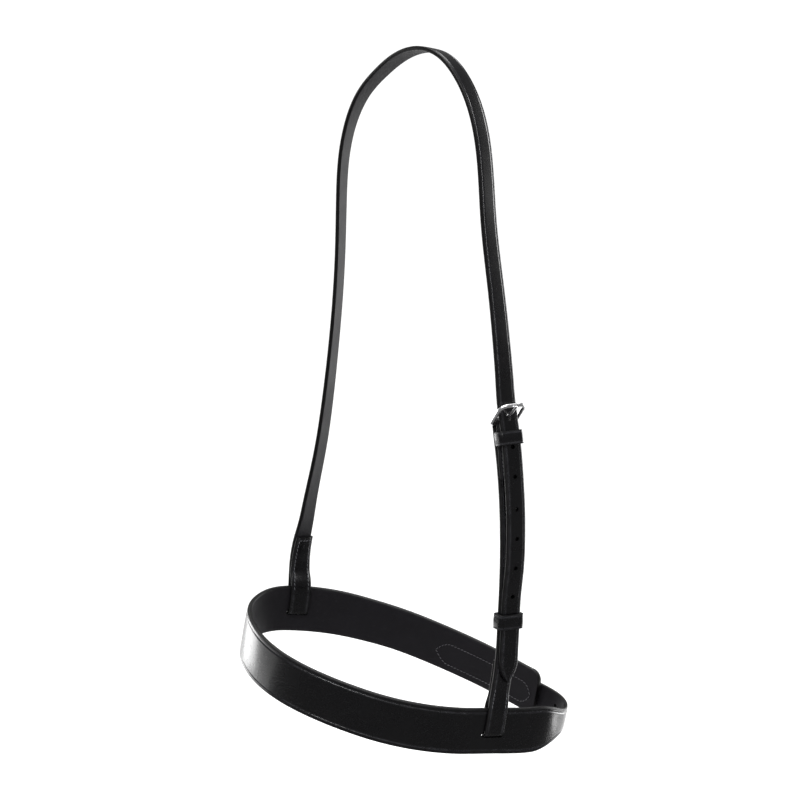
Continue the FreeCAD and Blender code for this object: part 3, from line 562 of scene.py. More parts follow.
def maths(tree, operation, a, b=None, c=None, clamp=False):
    """Math node whose inputs are sockets or plain numbers."""
    node = tree.nodes.new("ShaderNodeMath")
    node.operation = operation
    node.use_clamp = clamp
    for socket, value in zip(node.inputs, (a, b, c)):
        if isinstance(value, (int, float)):
            socket.default_value = value
        elif value is not None:
            tree.links.new(value, socket)
    return node.outputs[0]


def noise(tree, vector, scale, detail=4.0, roughness=0.55):
    node = tree.nodes.new("ShaderNodeTexNoise")
    node.inputs["Scale"].default_value = scale
    node.inputs["Detail"].default_value = detail
    node.inputs["Roughness"].default_value = roughness
    tree.links.new(vector, node.inputs["Vector"])
    return node.outputs["Fac"]


def leather_grain():
    """Pebbles between fine valleys, pores here and there, and slow waves of the hide."""
    group, given, made = new_group("leather_grain", [("Pebble", 900.0)], ["Height", "Tone"])
    place = group.nodes.new("ShaderNodeTexCoord").outputs["Object"]
    pebble = group.nodes.new("ShaderNodeTexVoronoi")
    pebble.feature = "F1"
    group.links.new(place, pebble.inputs["Vector"])
    group.links.new(given.outputs["Pebble"], pebble.inputs["Scale"])
    waves = noise(group, place, 55.0, 3.0)
    pores = noise(group, place, 2600.0, 2.0)
    rounded = maths(group, "POWER", pebble.outputs["Distance"], 2.0)
    height = maths(group, "MULTIPLY_ADD", rounded, -0.55, 1.0)
    height = maths(group, "MULTIPLY_ADD", waves, 1.3, height)
    height = maths(group, "MULTIPLY_ADD", pores, 0.35, height)
    group.links.new(height, made.inputs["Height"])
    group.links.new(noise(group, place, 38.0, 5.0, 0.6), made.inputs["Tone"])
    return group


def painted_crease_highlight():
    """Soft patchy painted highlight at the crease, a lighter line for the light caught there, from the distance
    to the edge that the UV map holds.
    """
    group, given, made = new_group("painted_crease_highlight", [("Crease", 0.003), ("Width", 0.0006)], ["Line"])
    uv = group.nodes.new("ShaderNodeUVMap")
    uv.uv_map = "leather_uv"
    parts = group.nodes.new("ShaderNodeSeparateXYZ")
    group.links.new(uv.outputs["UV"], parts.inputs["Vector"])
    off = maths(group, "SUBTRACT", parts.outputs["Y"], given.outputs["Crease"])
    off = maths(group, "DIVIDE", off, given.outputs["Width"])
    line = maths(group, "EXPONENT", maths(group, "MULTIPLY", maths(group, "MULTIPLY", off, off), -1.0))
    place = group.nodes.new("ShaderNodeTexCoord").outputs["Object"]
    patchy = maths(group, "MULTIPLY_ADD", noise(group, place, 120.0, 3.0), 1.6, -0.3, clamp=True)
    group.links.new(maths(group, "MULTIPLY", line, patchy), made.inputs["Line"])
    return group


def scuffs():
    """Long faint handling marks: noise stretched along two slanted directions."""
    group, given, made = new_group("scuffs", [("Amount", 1.0)], ["Mask"])
    place = group.nodes.new("ShaderNodeTexCoord").outputs["Object"]
    masks = []
    for turn in (0.5, 2.1):
        lay = group.nodes.new("ShaderNodeMapping")
        lay.inputs["Rotation"].default_value = (turn, turn * 0.6, 0.3)
        lay.inputs["Scale"].default_value = (14.0, 420.0, 420.0)
        group.links.new(place, lay.inputs["Vector"])
        masks.append(maths(group, "MULTIPLY_ADD", noise(group, lay.outputs["Vector"], 1.0, 2.0), 5.0, -3.1,
                           clamp=True))
    both = maths(group, "MAXIMUM", masks[0], masks[1])
    group.links.new(maths(group, "MULTIPLY", both, given.outputs["Amount"]), made.inputs["Mask"])
    return group


GRAIN = leather_grain()
CREASE_HIGHLIGHT = painted_crease_highlight()
SCUFFS = scuffs()


# %% Materials
def new_material(name):
    """New material with its node tree and its Principled shader."""
    material = bpy.data.materials.new(name)
    material.use_nodes = True
    return material, material.node_tree, material.node_tree.nodes["Principled BSDF"]


def use_group(tree, group, **values):
    """Outputs of a shared effect placed in a tree with its own values."""
    node = tree.nodes.new("ShaderNodeGroup")
    node.node_tree = group
    for label, value in values.items():
        node.inputs[label].default_value = value
    return node.outputs


def mixed(tree, factor, low, high):
    """Colour between two colours."""
    node = tree.nodes.new("ShaderNodeMix")
    node.data_type = "RGBA"
    tree.links.new(factor, node.inputs["Factor"])
    for label, value in (("A", low), ("B", high)):
        socket = [s for s in node.inputs if s.name == label and s.type == "RGBA"][0]
        if isinstance(value, tuple):
            socket.default_value = value + (1.0,)
        else:
            tree.links.new(value, socket)
    return [s for s in node.outputs if s.type == "RGBA"][0]


def bumped(tree, shader, height, strength, distance):
    node = tree.nodes.new("ShaderNodeBump")
    node.inputs["Strength"].default_value = strength
    node.inputs["Distance"].default_value = distance
    tree.links.new(height, node.inputs["Height"])
    tree.links.new(node.outputs["Normal"], shader.inputs["Normal"])


def bridle_outside(name, crease):
    """Waxed black grain side: near-black, smooth and semi-gloss, with a painted highlight along the creases."""
    material, tree, shader = new_material(name)
    grain = use_group(tree, GRAIN, Pebble=1100.0)
    painted_highlight = use_group(tree, CREASE_HIGHLIGHT, Crease=crease, Width=0.0007)
    marks = use_group(tree, SCUFFS, Amount=0.5)
    colour = mixed(tree, grain["Tone"], (0.0012, 0.0011, 0.0015), (0.0030, 0.0028, 0.0036))
    # Painted highlight: a lighter line along each crease stands for the light that the crease ridges catch.
    colour = mixed(tree, maths(tree, "MULTIPLY", painted_highlight["Line"], 0.8), colour, (0.035, 0.035, 0.04))
    colour = mixed(tree, maths(tree, "MULTIPLY", marks["Mask"], 0.35), colour, (0.018, 0.018, 0.02))
    tree.links.new(colour, shader.inputs["Base Color"])
    rough = maths(tree, "MULTIPLY_ADD", grain["Tone"], 0.14, 0.20)
    rough = maths(tree, "MULTIPLY_ADD", marks["Mask"], 0.18, rough)
    tree.links.new(rough, shader.inputs["Roughness"])
    shader.inputs["Specular IOR Level"].default_value = 0.3
    shader.inputs["Coat Weight"].default_value = 0.15
    shader.inputs["Coat Roughness"].default_value = 0.12
    bumped(tree, shader, grain["Height"], 0.16, 0.00025)
    return material


def bridle_inside():
    """Flesh side, dyed and lightly glazed: dark grey and matt, with a fine nap."""
    material, tree, shader = new_material("bridle_inside")
    grain = use_group(tree, GRAIN, Pebble=1800.0)
    marks = use_group(tree, SCUFFS, Amount=0.8)
    painted_highlight = use_group(tree, CREASE_HIGHLIGHT, Crease=0.0012, Width=0.0006)
    colour = mixed(tree, grain["Tone"], (0.0044, 0.0039, 0.0053), (0.0096, 0.0086, 0.0112))
    colour = mixed(tree, maths(tree, "MULTIPLY", marks["Mask"], 0.4), colour, (0.02, 0.0196, 0.022))
    # Painted highlight: a lighter line near each edge of the flesh side stands for light caught where the edge
    # rounds over.
    colour = mixed(tree, maths(tree, "MULTIPLY", painted_highlight["Line"], 0.4), colour, (0.028, 0.028, 0.031))
    tree.links.new(colour, shader.inputs["Base Color"])
    tree.links.new(maths(tree, "MULTIPLY_ADD", grain["Tone"], 0.2, 0.52), shader.inputs["Roughness"])
    shader.inputs["Specular IOR Level"].default_value = 0.12
    shader.inputs["Sheen Weight"].default_value = 0.04
    bumped(tree, shader, grain["Height"], 0.35, 0.00025)
    return material


def burnished_edge():
    """Dyed edge rubbed smooth: black with faint streaks of the fibre layers."""
    material, tree, shader = new_material("burnished_edge")
    grain = use_group(tree, GRAIN, Pebble=2400.0)
    painted_highlight = use_group(tree, CREASE_HIGHLIGHT, Crease=0.0009, Width=0.0004)
    colour = mixed(tree, grain["Tone"], (0.0015, 0.0014, 0.0015), (0.005, 0.0046, 0.005))
    # Painted highlight: a lighter line along the rounded corners of the edge stands for the light they catch.
    colour = mixed(tree, maths(tree, "MULTIPLY", painted_highlight["Line"], 0.5), colour, (0.03, 0.03, 0.033))
    tree.links.new(colour, shader.inputs["Base Color"])
    tree.links.new(maths(tree, "MULTIPLY_ADD", grain["Tone"], 0.25, 0.32), shader.inputs["Roughness"])
    shader.inputs["Specular IOR Level"].default_value = 0.18
    bumped(tree, shader, grain["Height"], 0.3, 0.0002)
    return material


def waxed_thread():
    """Linen thread, black wax on it: dark grey, twisted."""
    material, tree, shader = new_material("waxed_thread")
    place = tree.nodes.new("ShaderNodeTexCoord").outputs["Object"]
    twist = tree.nodes.new("ShaderNodeTexWave")
    twist.inputs["Scale"].default_value = 900.0
    twist.inputs["Distortion"].default_value = 1.5
    tree.links.new(place, twist.inputs["Vector"])
    colour = mixed(tree, twist.outputs["Fac"], (0.045, 0.045, 0.05), (0.10, 0.10, 0.11))
    tree.links.new(colour, shader.inputs["Base Color"])
    tree.links.new(maths(tree, "MULTIPLY_ADD", twist.outputs["Fac"], 0.2, 0.45), shader.inputs["Roughness"])
    bumped(tree, shader, twist.outputs["Fac"], 0.5, 0.0001)
    return material


def polished_metal():
    """Stainless steel buckle: bright, with hair-fine rubbing marks and slightly dulled patches."""
    material, tree, shader = new_material("polished_metal")
    grain = use_group(tree, GRAIN, Pebble=600.0)
    marks = use_group(tree, SCUFFS, Amount=1.0)
    colour = mixed(tree, grain["Tone"], (0.80, 0.80, 0.81), (0.92, 0.92, 0.93))
    tree.links.new(colour, shader.inputs["Base Color"])
    rough = maths(tree, "MULTIPLY_ADD", grain["Tone"], 0.10, 0.26)
    tree.links.new(maths(tree, "MULTIPLY_ADD", marks["Mask"], 0.14, rough), shader.inputs["Roughness"])
    shader.inputs["Metallic"].default_value = 1.0
    bumped(tree, shader, grain["Tone"], 0.05, 0.0001)
    return material


INSIDE = bridle_inside()
EDGE = burnished_edge()
BAND_LEATHER = [bridle_outside("bridle_outside_band", BAND_CREASE), EDGE, INSIDE]
STRAP_LEATHER = [bridle_outside("bridle_outside_strap", STRAP_CREASE), EDGE, INSIDE]
KEEPER_LEATHER = [bridle_outside("bridle_outside_keeper", KEEPER_CREASE), EDGE, INSIDE]
METAL = polished_metal()
THREAD_FINISH = waxed_thread()


def keep(thing, body, slot, *nodes):
    """Attaches a finished piece to its body and hides the plain nodes it stands for; the slot is not used."""
    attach(thing, body)
    if nodes:
        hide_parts(*nodes)


# %% [markdown]
# ## The noseband
# One piece of leather, widest over the nose. It has a slot on each side for the straps that carry it, and
# its narrow end is the billet, with a point and punched holes, which the buckle at the back takes.

# %% Noseband
first = spread(0, CORNER, 0.5 * MM)
middle = spread(CORNER, BAND.length - TIP_LENGTH, 2 * MM)
last = spread(BAND.length - TIP_LENGTH, BAND.length, 0.8 * MM)
BAND_AT = np.concatenate([first[:-1], middle[:-1], last])
band_line = band_stations(BAND_AT)
noseband = leather("noseband_leather", band_line, BAND_CREASE, BAND_FULLNESS, BAND_LEATHER)
openings = []
for slot_at in (PLAIN_SLOT_AT, BUCKLE_SLOT_AT):
    k = int(np.argmin(abs(BAND_AT - slot_at)))
    openings.append(plug(band_line.centre[k] - RING_UP * SLOT_BELOW_MIDDLE, band_line.across[k],
                         band_line.out[k], band_line.along[k], SLOT_HEIGHT, SLOT_LENGTH, 12 * MM))
band_bar, band_tongue = tongue_line("noseband_buckle_tongue", "noseband_tongue_lift")
billet_from = int(np.searchsorted(BAND_AT, WIDE_END.length))
used = billet_from + where_crossed(band_line.centre[billet_from:], band_bar, band_tongue)
punch(noseband, openings + billet_holes(band_line, BAND_AT, used, range(-2, 4), 10 * MM), 1)
keep(noseband, "sewn_leather", "bridle_leather", "noseband_strap")

# %% [markdown]
# ## The safe and the chape
# The safe is a thin leather under the buckle that keeps it off the skin, sewn on with the chape. The chape is
# folded round the buckle's bar, with an opening in the fold for the tongue.

# %% Safe
SAFE_AT = spread(*SAFE_SPAN, 1 * MM)
near = SAFE_AT - SAFE_SPAN[0]
round_end = SAFE_WIDTH / 2
safe_half = point_half(SAFE_WIDTH, SAFE_SPAN[1] - SAFE_AT, 15 * MM)
curve_in = np.sqrt(np.maximum(round_end ** 2 - np.maximum(round_end - near, 0) ** 2, (2 * MM) ** 2))
safe_half = np.where(near < round_end, np.minimum(curve_in, safe_half), safe_half)
safe_line = over_band(SAFE_AT, BAND_THICK / 2 + SEWN_GAP + SAFE_THICK / 2, safe_half, SAFE_THICK)
safe = leather("safe_leather", safe_line, SAFE_CREASE, 0, STRAP_LEATHER)
keep(safe, "sewn_leather", "bridle_leather", "noseband_safe")

# %% Noseband chape
safe_face = BAND_THICK / 2 + SEWN_GAP + SAFE_THICK
lower = safe_face + SEWN_GAP + SKIVED_THICK / 2
upper = lower + SKIVED_THICK + SEWN_GAP
legs = spread(CHAPE_END, BAND_BAR_AT, 1.5 * MM)
leg_half = point_half(CHAPE_WIDTH, CHAPE_END - legs, 14 * MM)
under = over_band(legs, lower, leg_half, SKIVED_THICK)
bar, fold = around_bar(under.centre[-1], under.along[-1], under.out[-1], -1)
back = legs[::-1]
opening = smooth((back - BAND_BAR_AT - 2 * MM) / (18 * MM))
above = ring(beside(back, lower + 2 * FOLD_RADIUS + (upper - lower - 2 * FOLD_RADIUS) * opening),
             np.full(len(back), -CHAPE_LOW))
chape_half = np.concatenate([leg_half, np.full(len(fold), CHAPE_WIDTH / 2), leg_half[::-1]])
chape_line = Stations(np.vstack([under.centre, fold, above]), RING_UP, chape_half, SKIVED_THICK)
chape = leather("noseband_chape_leather", chape_line, CHAPE_CREASE, 0, STRAP_LEATHER)
punch(chape, [plug(bar, under.across[-1], under.out[-1], under.along[-1], *TONGUE_GAP, 9 * MM)], 1)
keep(chape, "sewn_leather", "bridle_leather", "noseband_chape")

# %% [markdown]
# ## The headpiece
# One strap: its plain end goes through the noseband's slot and is sewn back to itself, and its other end is a
# billet with a row of holes for fitting it to the horse.

# %% Headpiece
head_route, loop_centres, loop_across = loop_through(PLAIN_SLOT_AT, PLAIN_LEG_GAP, PLAIN_LEAN,
                                                     HEADPIECE_ROUTE, HEADPIECE_TURN_BACK)
tip_from = head_route.length - TIP_LENGTH
HEAD_AT = np.concatenate([spread(0, tip_from, 2 * MM)[:-1], spread(tip_from, head_route.length, 0.8 * MM)])
loop_count = len(loop_centres)
head_half = point_half(STRAP_WIDTH, head_route.length - HEAD_AT, TIP_LENGTH)
head_line = Stations(
    np.vstack([loop_centres, head_route.at(HEAD_AT)[:, :3]]),
    np.vstack([loop_across, compass_across(head_route, HEAD_AT)]),
    np.concatenate([np.full(loop_count, STRAP_WIDTH / 2), head_half]),
    np.concatenate([np.full(loop_count, SKIVED_THICK), leg_thickness(HEAD_AT)]))
headpiece = leather("headpiece_leather", head_line, STRAP_CREASE, STRAP_FULLNESS, STRAP_LEATHER)
cheek_bar, cheek_tongue = tongue_line("cheek_buckle_tongue", "cheek_tongue_lift")
billet_from = loop_count + int(np.searchsorted(HEAD_AT, head_route.length - 230 * MM))
used = billet_from + where_crossed(head_line.centre[billet_from:billet_from + 40], cheek_bar, cheek_tongue)
punch(headpiece, billet_holes(head_line, HEAD_AT, used, range(7), 9 * MM, loop_count), 1)
keep(headpiece, "sewn_leather", "bridle_leather", "headpiece_strap")

# %% [markdown]
# ## The cheek strap
# It loops through the other slot in the same way. Its upper end is skived thin, folded round the buckle's bar
# and sewn down.

# %% Cheek strap
cheek_route, loop_centres, loop_across = loop_through(BUCKLE_SLOT_AT, BUCKLE_LEG_GAP, BUCKLE_LEAN,
                                                      CHEEK_ROUTE, CHEEK_TURN_BACK)
CHEEK_AT = spread(0, cheek_route.length, 1.5 * MM)
run = strap_along(cheek_route, CHEEK_AT)
bar, fold = around_bar(run.centre[-1], run.along[-1], run.out[-1], 1)
down = spread(0, CHAPE_TURN_BACK, 1.5 * MM)
closed = STRAP_THICK / 2 + SEWN_GAP + SKIVED_THICK / 2


def chape_apart(t):
    """Distance between the middles of the cheek strap and its turned-back leg, t below the bar."""
    return 2 * FOLD_RADIUS + (closed - 2 * FOLD_RADIUS) * smooth((t - 3 * MM) / (27 * MM))


back = cheek_route.length - down
beneath = strap_along(cheek_route, back)
leg = beneath.centre - beneath.out * chape_apart(down)[:, None]
skived = leg_thickness(CHEEK_AT) - (STRAP_THICK - SKIVED_THICK) * smooth(
    (CHEEK_AT - cheek_route.length + 10 * MM) / (9 * MM))
folded = len(fold) + len(leg)
cheek_line = Stations(
    np.vstack([loop_centres, run.centre, fold, leg]),
    np.vstack([loop_across, run.across, np.repeat(run.across[-1:], folded, axis=0)]), STRAP_WIDTH / 2,
    np.concatenate([np.full(len(loop_centres), SKIVED_THICK), skived, np.full(folded, SKIVED_THICK)]))
cheek = leather("cheek_leather", cheek_line, STRAP_CREASE, STRAP_FULLNESS, STRAP_LEATHER, both=True)
punch(cheek, [plug(bar, run.across[-1], run.out[-1], run.along[-1], *TONGUE_GAP, 9 * MM)], 1)
keep(cheek, "sewn_leather", "bridle_leather", "cheek_strap")

# %% [markdown]
# ## Keepers and the runner
# A keeper is a band of leather sewn down across the strap, and a runner is one that slides. Both are a
# leather section carried round a rounded rectangle, with a crease near each of their edges.

# %% Keepers and runner
def leather_loop(name, centre, axes, half_inside, low, high, wall, base, height):
    """Closed loop: a section (height along, wall outwards) carried round a rounded rectangle.

    The inner outline is the rectangle's corners turned with a radius, and each section point moves outwards
    from it by its share of the wall, which is thinner on the base side.
    """
    across, out, along = axes
    corner = 1.3 * MM
    turns = np.radians(np.linspace(0, 90, 7))
    middle = (low + high) / 2
    tall = (high - low) / 2
    outline, normals, walls = [], [], []
    for quarter, (sx, sy) in enumerate([(1, 1), (-1, 1), (-1, -1), (1, -1)]):
        angle = turns + quarter * math.pi / 2
        normal = np.column_stack([np.cos(angle), np.sin(angle)])
        inside = np.array([sx * (half_inside - corner), middle + sy * (tall - corner)])
        outline.append(inside + normal * corner)
        normals.append(normal)
        walls.append(wall + (base - wall) * np.clip(-normal[:, 1], 0, 1))
    outline, normals, walls = np.vstack(outline), np.vstack(normals), np.concatenate(walls)
    half = height / 2
    rise = [0, 0.25, 0.7, 0.95, 1.0, 1.03, 0.90, 1.03]
    share = np.array(rise + [1.08] + rise[::-1])
    from_middle = [1.0, 1.0, 0.99, 0.95, 0.88, 0.80, 0.73, 0.66]
    place = np.array([-x for x in from_middle] + [0] + from_middle[::-1]) * half
    flat = (outline[:, None] + normals[:, None] * (walls[:, None] * share)[..., None])
    points = (centre + flat[..., :1] * across + flat[..., 1:] * out
              + np.broadcast_to(place[:, None], flat.shape[:2] + (1,)) * along)
    rows, columns = flat.shape[:2]
    faces = outward(points.reshape(-1, 3), grid_quads(rows, columns, wrap_rows=True).tolist())
    from_edge = half - abs(place)
    uv = np.stack([np.repeat(np.arange(rows) * MM, columns), np.tile(from_edge, rows)], axis=1)
    finish = np.zeros(columns, int)
    finish[[0, 1, 2, 3, -5, -4, -3, -2]] = 1
    finish[-1] = 2
    thing = finish_mesh(name, points.reshape(-1, 3), faces, np.tile(finish, rows), uv, KEEPER_LEATHER)
    print(name, len(faces), "faces")
    return thing


for label, at in zip(("first", "second"), BAND_KEEPERS_AT):
    here = over_band(at + NEIGHBOURS, 0, CHAPE_WIDTH / 2, 1 * MM)
    roof = upper + SKIVED_THICK / 2 + BILLET_THICK + 0.8 * MM
    keeper = leather_loop(f"noseband_{label}_keeper_leather", here.centre[1],
                          (here.across[1], here.out[1], here.along[1]), SAFE_WIDTH / 2 + 0.2 * MM,
                          safe_face + 0.02 * MM, roof, KEEPER_WALL, KEEPER_BASE, KEEPER_HEIGHT)
    keep(keeper, "sewn_leather", "bridle_leather", f"noseband_{label}_keeper")

below_bar = 11.7 * MM
here = strap_along(cheek_route, cheek_route.length - below_bar + NEIGHBOURS)
target = here.centre[1] + here.out[1] * chape_apart(below_bar)
over = head_route.at(head_route.nearest(target))[0, :3] - here.centre[1]
aside = over @ here.across[1] / 2
keeper_axes = (here.across[1], here.out[1], here.along[1])
cheek_keeper = leather_loop(
    "cheek_keeper_leather", here.centre[1] + here.across[1] * aside, keeper_axes,
    STRAP_WIDTH / 2 + 0.3 * MM + abs(aside), STRAP_THICK / 2 + SEWN_GAP + 1.0 * MM,
    over @ here.out[1] + STRAP_THICK / 2 + 0.5 * MM, KEEPER_WALL, KEEPER_BASE, KEEPER_HEIGHT)
keep(cheek_keeper, "sewn_leather", "bridle_leather", "cheek_fixed_keeper")

RUNNER_AT = np.array([83.61, 6.0, -414.0]) * MM
here = strap_along(cheek_route, cheek_route.nearest(RUNNER_AT) + np.array([-4, 0, 4]) * MM)
runner_axes = (here.across[1], here.out[1], here.along[1])
runner = leather_loop("cheek_runner_leather", RUNNER_AT, runner_axes, STRAP_WIDTH / 2 + RUNNER_SLACK,
                      -STRAP_THICK / 2 - RUNNER_SLACK, 3.4 * MM + STRAP_THICK / 2 + RUNNER_SLACK,
                      RUNNER_WALL, RUNNER_WALL, RUNNER_HEIGHT)
keep(runner, "cheek_runner_loop", "bridle_leather", "cheek_runner")


# %% [markdown]
# ## Stitching
# Saddle stitching lies in short slanted stitches at an even pitch. A stitch is a small rounded body of a few
# dozen faces, set along a line on the leather and turned a little across it.

# %% Stitches
def stitches(name, starts, alongs, acrosses, outs, slant=12):
    """One mesh of many stitches: an ellipsoid, x = cos u cos v, y = sin u cos v, z = sin v, at each place."""
    u = np.linspace(0, 2 * math.pi, 8, endpoint=False)
    v = np.radians([-60, -20, 20, 60])
    ring_points = np.stack([np.outer(np.cos(v), np.cos(u)), np.outer(np.cos(v), np.sin(u)),
                            np.repeat(np.sin(v)[:, None], 8, axis=1)], axis=-1).reshape(-1, 3)
    body = np.vstack([ring_points, [[0, 0, -1], [0, 0, 1]]])
    faces = grid_quads(4, 8).tolist()
    faces += [[32, (k + 1) % 8, k] for k in range(8)] + [[33, 24 + k, 24 + (k + 1) % 8] for k in range(8)]
    turn = math.radians(slant)
    lengthwise = alongs * math.cos(turn) + acrosses * math.sin(turn)
    sideways = acrosses * math.cos(turn) - alongs * math.sin(turn)
    size = np.array([THREAD / 2, THREAD / 2, STITCH_PITCH * 0.42])
    shape = body * size
    points = (starts[:, None] + shape[None, :, :1] * sideways[:, None] + shape[None, :, 1:2] * outs[:, None]
              + shape[None, :, 2:] * lengthwise[:, None]).reshape(-1, 3)
    one = outward(points[:len(body)], faces)
    every = [[k * len(body) + c for c in face] for k in range(len(starts)) for face in one]
    uv = np.zeros((len(points), 2))
    thing = finish_mesh(name, points, every, np.zeros(len(every), int), uv, [THREAD_FINISH])
    print(name, len(starts), "stitches")
    return thing


def row_on(stations, across, face):
    """Places of a row of stitches on a strap's face: across may be a number or one value per station."""
    across = np.broadcast_to(across, len(stations.centre))
    line = stations.point(across, face * (stations.thick / 2 + THREAD_LIFT))
    lengths = np.concatenate([[0], np.cumsum(np.linalg.norm(np.diff(line, axis=0), axis=1))])
    at = np.arange(STITCH_PITCH / 2, lengths[-1], STITCH_PITCH)

    def between(values):
        return np.column_stack([np.interp(at, lengths, values[:, k]) for k in range(3)])
    ahead = unit(between(np.gradient(line, lengths, axis=0)))
    outs = unit(between(stations.out)) * face
    return between(line), ahead, np.cross(outs, ahead), outs


def sew(name, rows, *nodes):
    """One seam of all the rows, kept as thread on the sewn leather."""
    seam = stitches(name, *[np.vstack(values) for values in zip(*rows)])
    keep(seam, "sewn_leather", "sewing_thread", *nodes)


def loop_rows(line, turn_count, turn_back, reach):
    """Rows of a sewn loop: two on the inner leg with one across its end, and two on the outer leg."""
    base = line.centre[turn_count]
    away = np.linalg.norm(line.centre - base, axis=1)
    number = np.arange(len(away))
    inner = line.part((number < turn_count) & (away > JOIN_START) & (away < turn_back - 3 * MM))
    on_outer = (number >= turn_count) & (number < turn_count + 60)
    outer = line.part(on_outer & (away > JOIN_START) & (away < reach))
    inset = STRAP_WIDTH / 2 - SEAM_INSET
    rows = [row_on(part, side * inset, 1) for part in (inner, outer) for side in (-1, 1)]
    end = inner.part([0, 1])
    steps = np.arange(-inset + STITCH_PITCH / 2, inset, STITCH_PITCH)
    places = end.centre[0] + np.outer(steps, end.across[0]) + end.out[0] * (end.thick[0] / 2 + THREAD_LIFT)
    many = (len(steps), 1)
    rows.append((places, np.tile(end.across[0], many), np.tile(-end.along[0], many), np.tile(end.out[0], many)))
    return rows


sew("headpiece_loop_thread", loop_rows(head_line, loop_count, HEADPIECE_TURN_BACK, PLAIN_SEWN_TO),
    "headpiece_loop_stitching")
sew("cheek_loop_thread", loop_rows(cheek_line, len(loop_centres), CHEEK_TURN_BACK, BUCKLE_SEWN_TO),
    "cheek_loop_stitching")

sewn_leg = cheek_line.part(np.arange(len(cheek_line.centre) - len(leg) + 12, len(cheek_line.centre) - 1))
rows = [row_on(sewn_leg, side * (STRAP_WIDTH / 2 - SEAM_INSET), -1) for side in (-1, 1)]
sew("cheek_chape_thread", rows, "cheek_chape_stitching")

sewn_leg = chape_line.part(np.arange(len(chape_line.centre) - len(legs) + 9, len(chape_line.centre) - 2))
rows = [row_on(sewn_leg, side * (sewn_leg.half - 1.8 * MM), 1) for side in (-1, 1)]
sew("noseband_chape_thread", rows, "noseband_chape_stitching")

# %% Seam of the safe, seen on the inside of the noseband
inside = band_stations(SAFE_AT)
drop = (BAND_WIDTH - BACK_WIDTH) / 2 + CHAPE_LOW
inset = np.maximum(safe_half - 2.2 * MM, 0.4 * MM)
rows = [row_on(inside, side * inset - drop, -1) for side in (-1, 1)]
sew("safe_thread", rows)

# %% Seam of the runner
seam_at = np.arange(-4.5, 4.6, 3.0) * MM
across, out, along = runner_axes
under_runner = -STRAP_THICK / 2 - RUNNER_SLACK - RUNNER_WALL * 1.08
places = np.vstack([RUNNER_AT + x * across + under_runner * out + seam_at[:, None] * along
                    for x in (-1.5 * MM, 1.5 * MM)])
many = (len(places), 1)
runner_thread = stitches("cheek_runner_thread", places, np.tile(along, many), np.tile(across, many),
                         np.tile(-out, many), slant=0)
keep(runner_thread, "cheek_runner_loop", "sewing_thread", "cheek_runner_stitching")

# %% [markdown]
# ## Buckles
# Bent round wire, polished. The CAD model already has their true round shapes and moving fits, so they
# stay as they are and only get their metal.

# %% Buckle metal
for node in ("cheek_buckle_frame", "cheek_buckle_tongue", "noseband_buckle_frame", "noseband_buckle_tongue"):
    mesh = frame["nodes"][node].data
    mesh.materials.clear()
    mesh.materials.append(METAL)
print("buckle nodes in metal")

# %% [markdown]
# ## Stage, light and camera
# Two big soft lights stand behind the piece, one on each side, so the ends of the band shine where they turn
# away. A pale floor lies under it. Its front half isn't mirrored in the leather, so the faces turned to the
# viewer stay dark. A narrow light above picks out the crease lines.

# %% Stage
def stage_material():
    material, tree, shader = new_material("pale_floor")
    shader.inputs["Base Color"].default_value = (0.93, 0.93, 0.93, 1)
    shader.inputs["Roughness"].default_value = 0.9
    shader.inputs["Specular IOR Level"].default_value = 0.1
    return material


FLOOR_DROP = 0.35
FLOOR_REACH = 22.0
FLOOR_LEVEL = CAD_BOX[0][2] - FLOOR_DROP

AZIMUTH, ELEVATION = math.radians(48), math.radians(10)
TARGET = np.array([20.7, -43.4, -251.9]) * MM
DISTANCE = 4.0
VIEW_WIDTH = 0.5872
SENSOR_WIDTH = 36.0
to_camera = np.array([math.sin(AZIMUTH) * math.cos(ELEVATION), -math.cos(AZIMUTH) * math.cos(ELEVATION),
                      math.sin(ELEVATION)])
to_right = np.array([math.cos(AZIMUTH), math.sin(AZIMUTH), 0])
away = -np.array([math.sin(AZIMUTH), -math.cos(AZIMUTH), 0])
FLOOR_FINISH = stage_material()


def floor_half(name, near, far, mirrored):
    """Half of the floor, from one distance behind the target to another; mirrored: the leather reflects it."""
    base = np.array([TARGET[0], TARGET[1], FLOOR_LEVEL])
    corners = [base + away * depth + to_right * side * FLOOR_REACH
               for depth, side in ((near, -1), (near, 1), (far, 1), (far, -1))]
    mesh = bpy.data.meshes.new(name)
    mesh.from_pydata([tuple(corner) for corner in corners], [], [(0, 1, 2, 3)])
    mesh.materials.append(FLOOR_FINISH)
    half = new_object(name, mesh)
    half.visible_glossy = mirrored


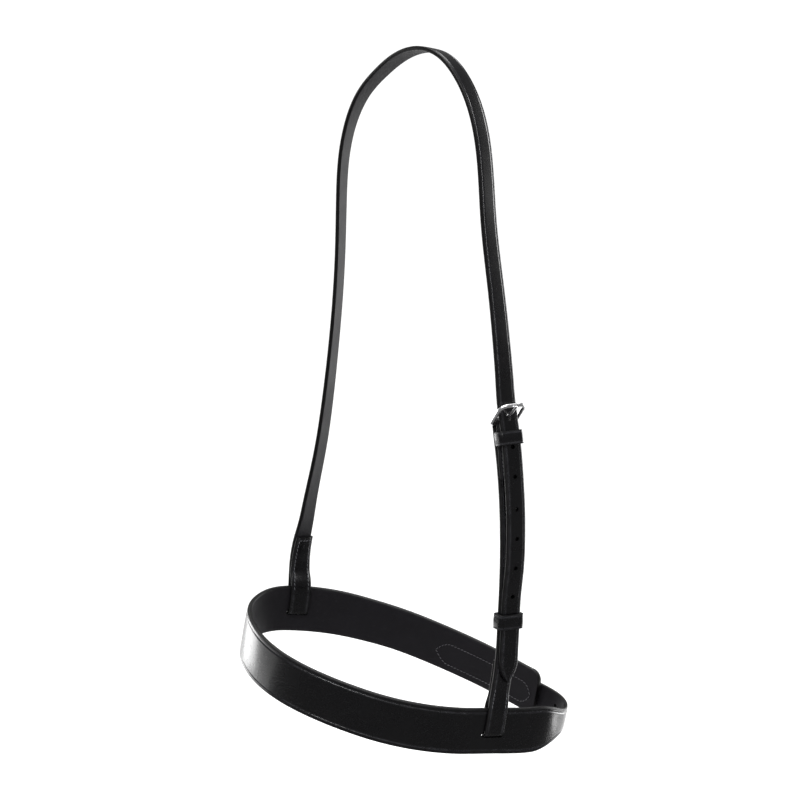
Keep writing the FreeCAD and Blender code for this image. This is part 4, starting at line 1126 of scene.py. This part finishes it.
FLOOR_PARTS_AT = 0.5
floor_half("rear_floor", FLOOR_PARTS_AT, FLOOR_REACH, True)
floor_half("front_floor", -FLOOR_REACH, FLOOR_PARTS_AT, False)


def facing(place, towards, up=(0, 0, 1)):
    """4x4 matrix of something at a place that looks at a point: its own -Z is the line of sight."""
    back = unit(np.asarray(place, float) - towards)
    side = unit(np.cross(up, back))
    top = np.cross(back, side)
    matrix = np.eye(4)
    matrix[:3, 0], matrix[:3, 1], matrix[:3, 2], matrix[:3, 3] = side, top, back, place
    return Matrix(matrix.tolist())


def soft_light(name, place, size, power):
    """Rectangular light of a size in metres and a power in watts, turned to the target."""
    lamp = bpy.data.lights.new(name, "AREA")
    lamp.shape = "RECTANGLE"
    lamp.size, lamp.size_y = size
    lamp.energy = power
    thing = new_object(name, lamp)
    thing.matrix_world = facing(place, TARGET)


soft_light("left_softbox", TARGET - to_right * 1.5 - to_camera * 1.7, (0.9, 2.0), 34)
soft_light("right_softbox", TARGET + to_right * 1.6 - to_camera * 1.3, (0.9, 2.0), 45)
crease_light_at = TARGET + to_camera * 1.5 - to_right * 0.3 + np.array([0, 0, 1.5])
soft_light("crease_strip", crease_light_at, (3.0, 0.2), 60)

overhead = bpy.data.lights.new("overhead", "SUN")
overhead.energy = 3.25
overhead.angle = math.radians(40)
overhead_thing = new_object("overhead", overhead)
overhead_thing.matrix_world = facing(TARGET + np.array([0, 0, 3.0]) - to_camera * 0.8, TARGET)

world = bpy.data.worlds.new("studio")
world.use_nodes = True
world.node_tree.nodes["Background"].inputs["Color"].default_value = (1, 1, 1, 1)
world.node_tree.nodes["Background"].inputs["Strength"].default_value = 0.2
bpy.context.scene.world = world

camera = bpy.data.cameras.new("camera")
camera.sensor_width = SENSOR_WIDTH
camera.lens = SENSOR_WIDTH * DISTANCE / VIEW_WIDTH
camera.clip_end = 100.0
camera_thing = new_object("camera", camera)
camera_thing.matrix_world = facing(TARGET + to_camera * DISTANCE, TARGET)
bpy.context.scene.camera = camera_thing
bpy.context.scene.view_settings.view_transform = "Standard"
print("camera at", [round(x, 3) for x in camera_thing.location])
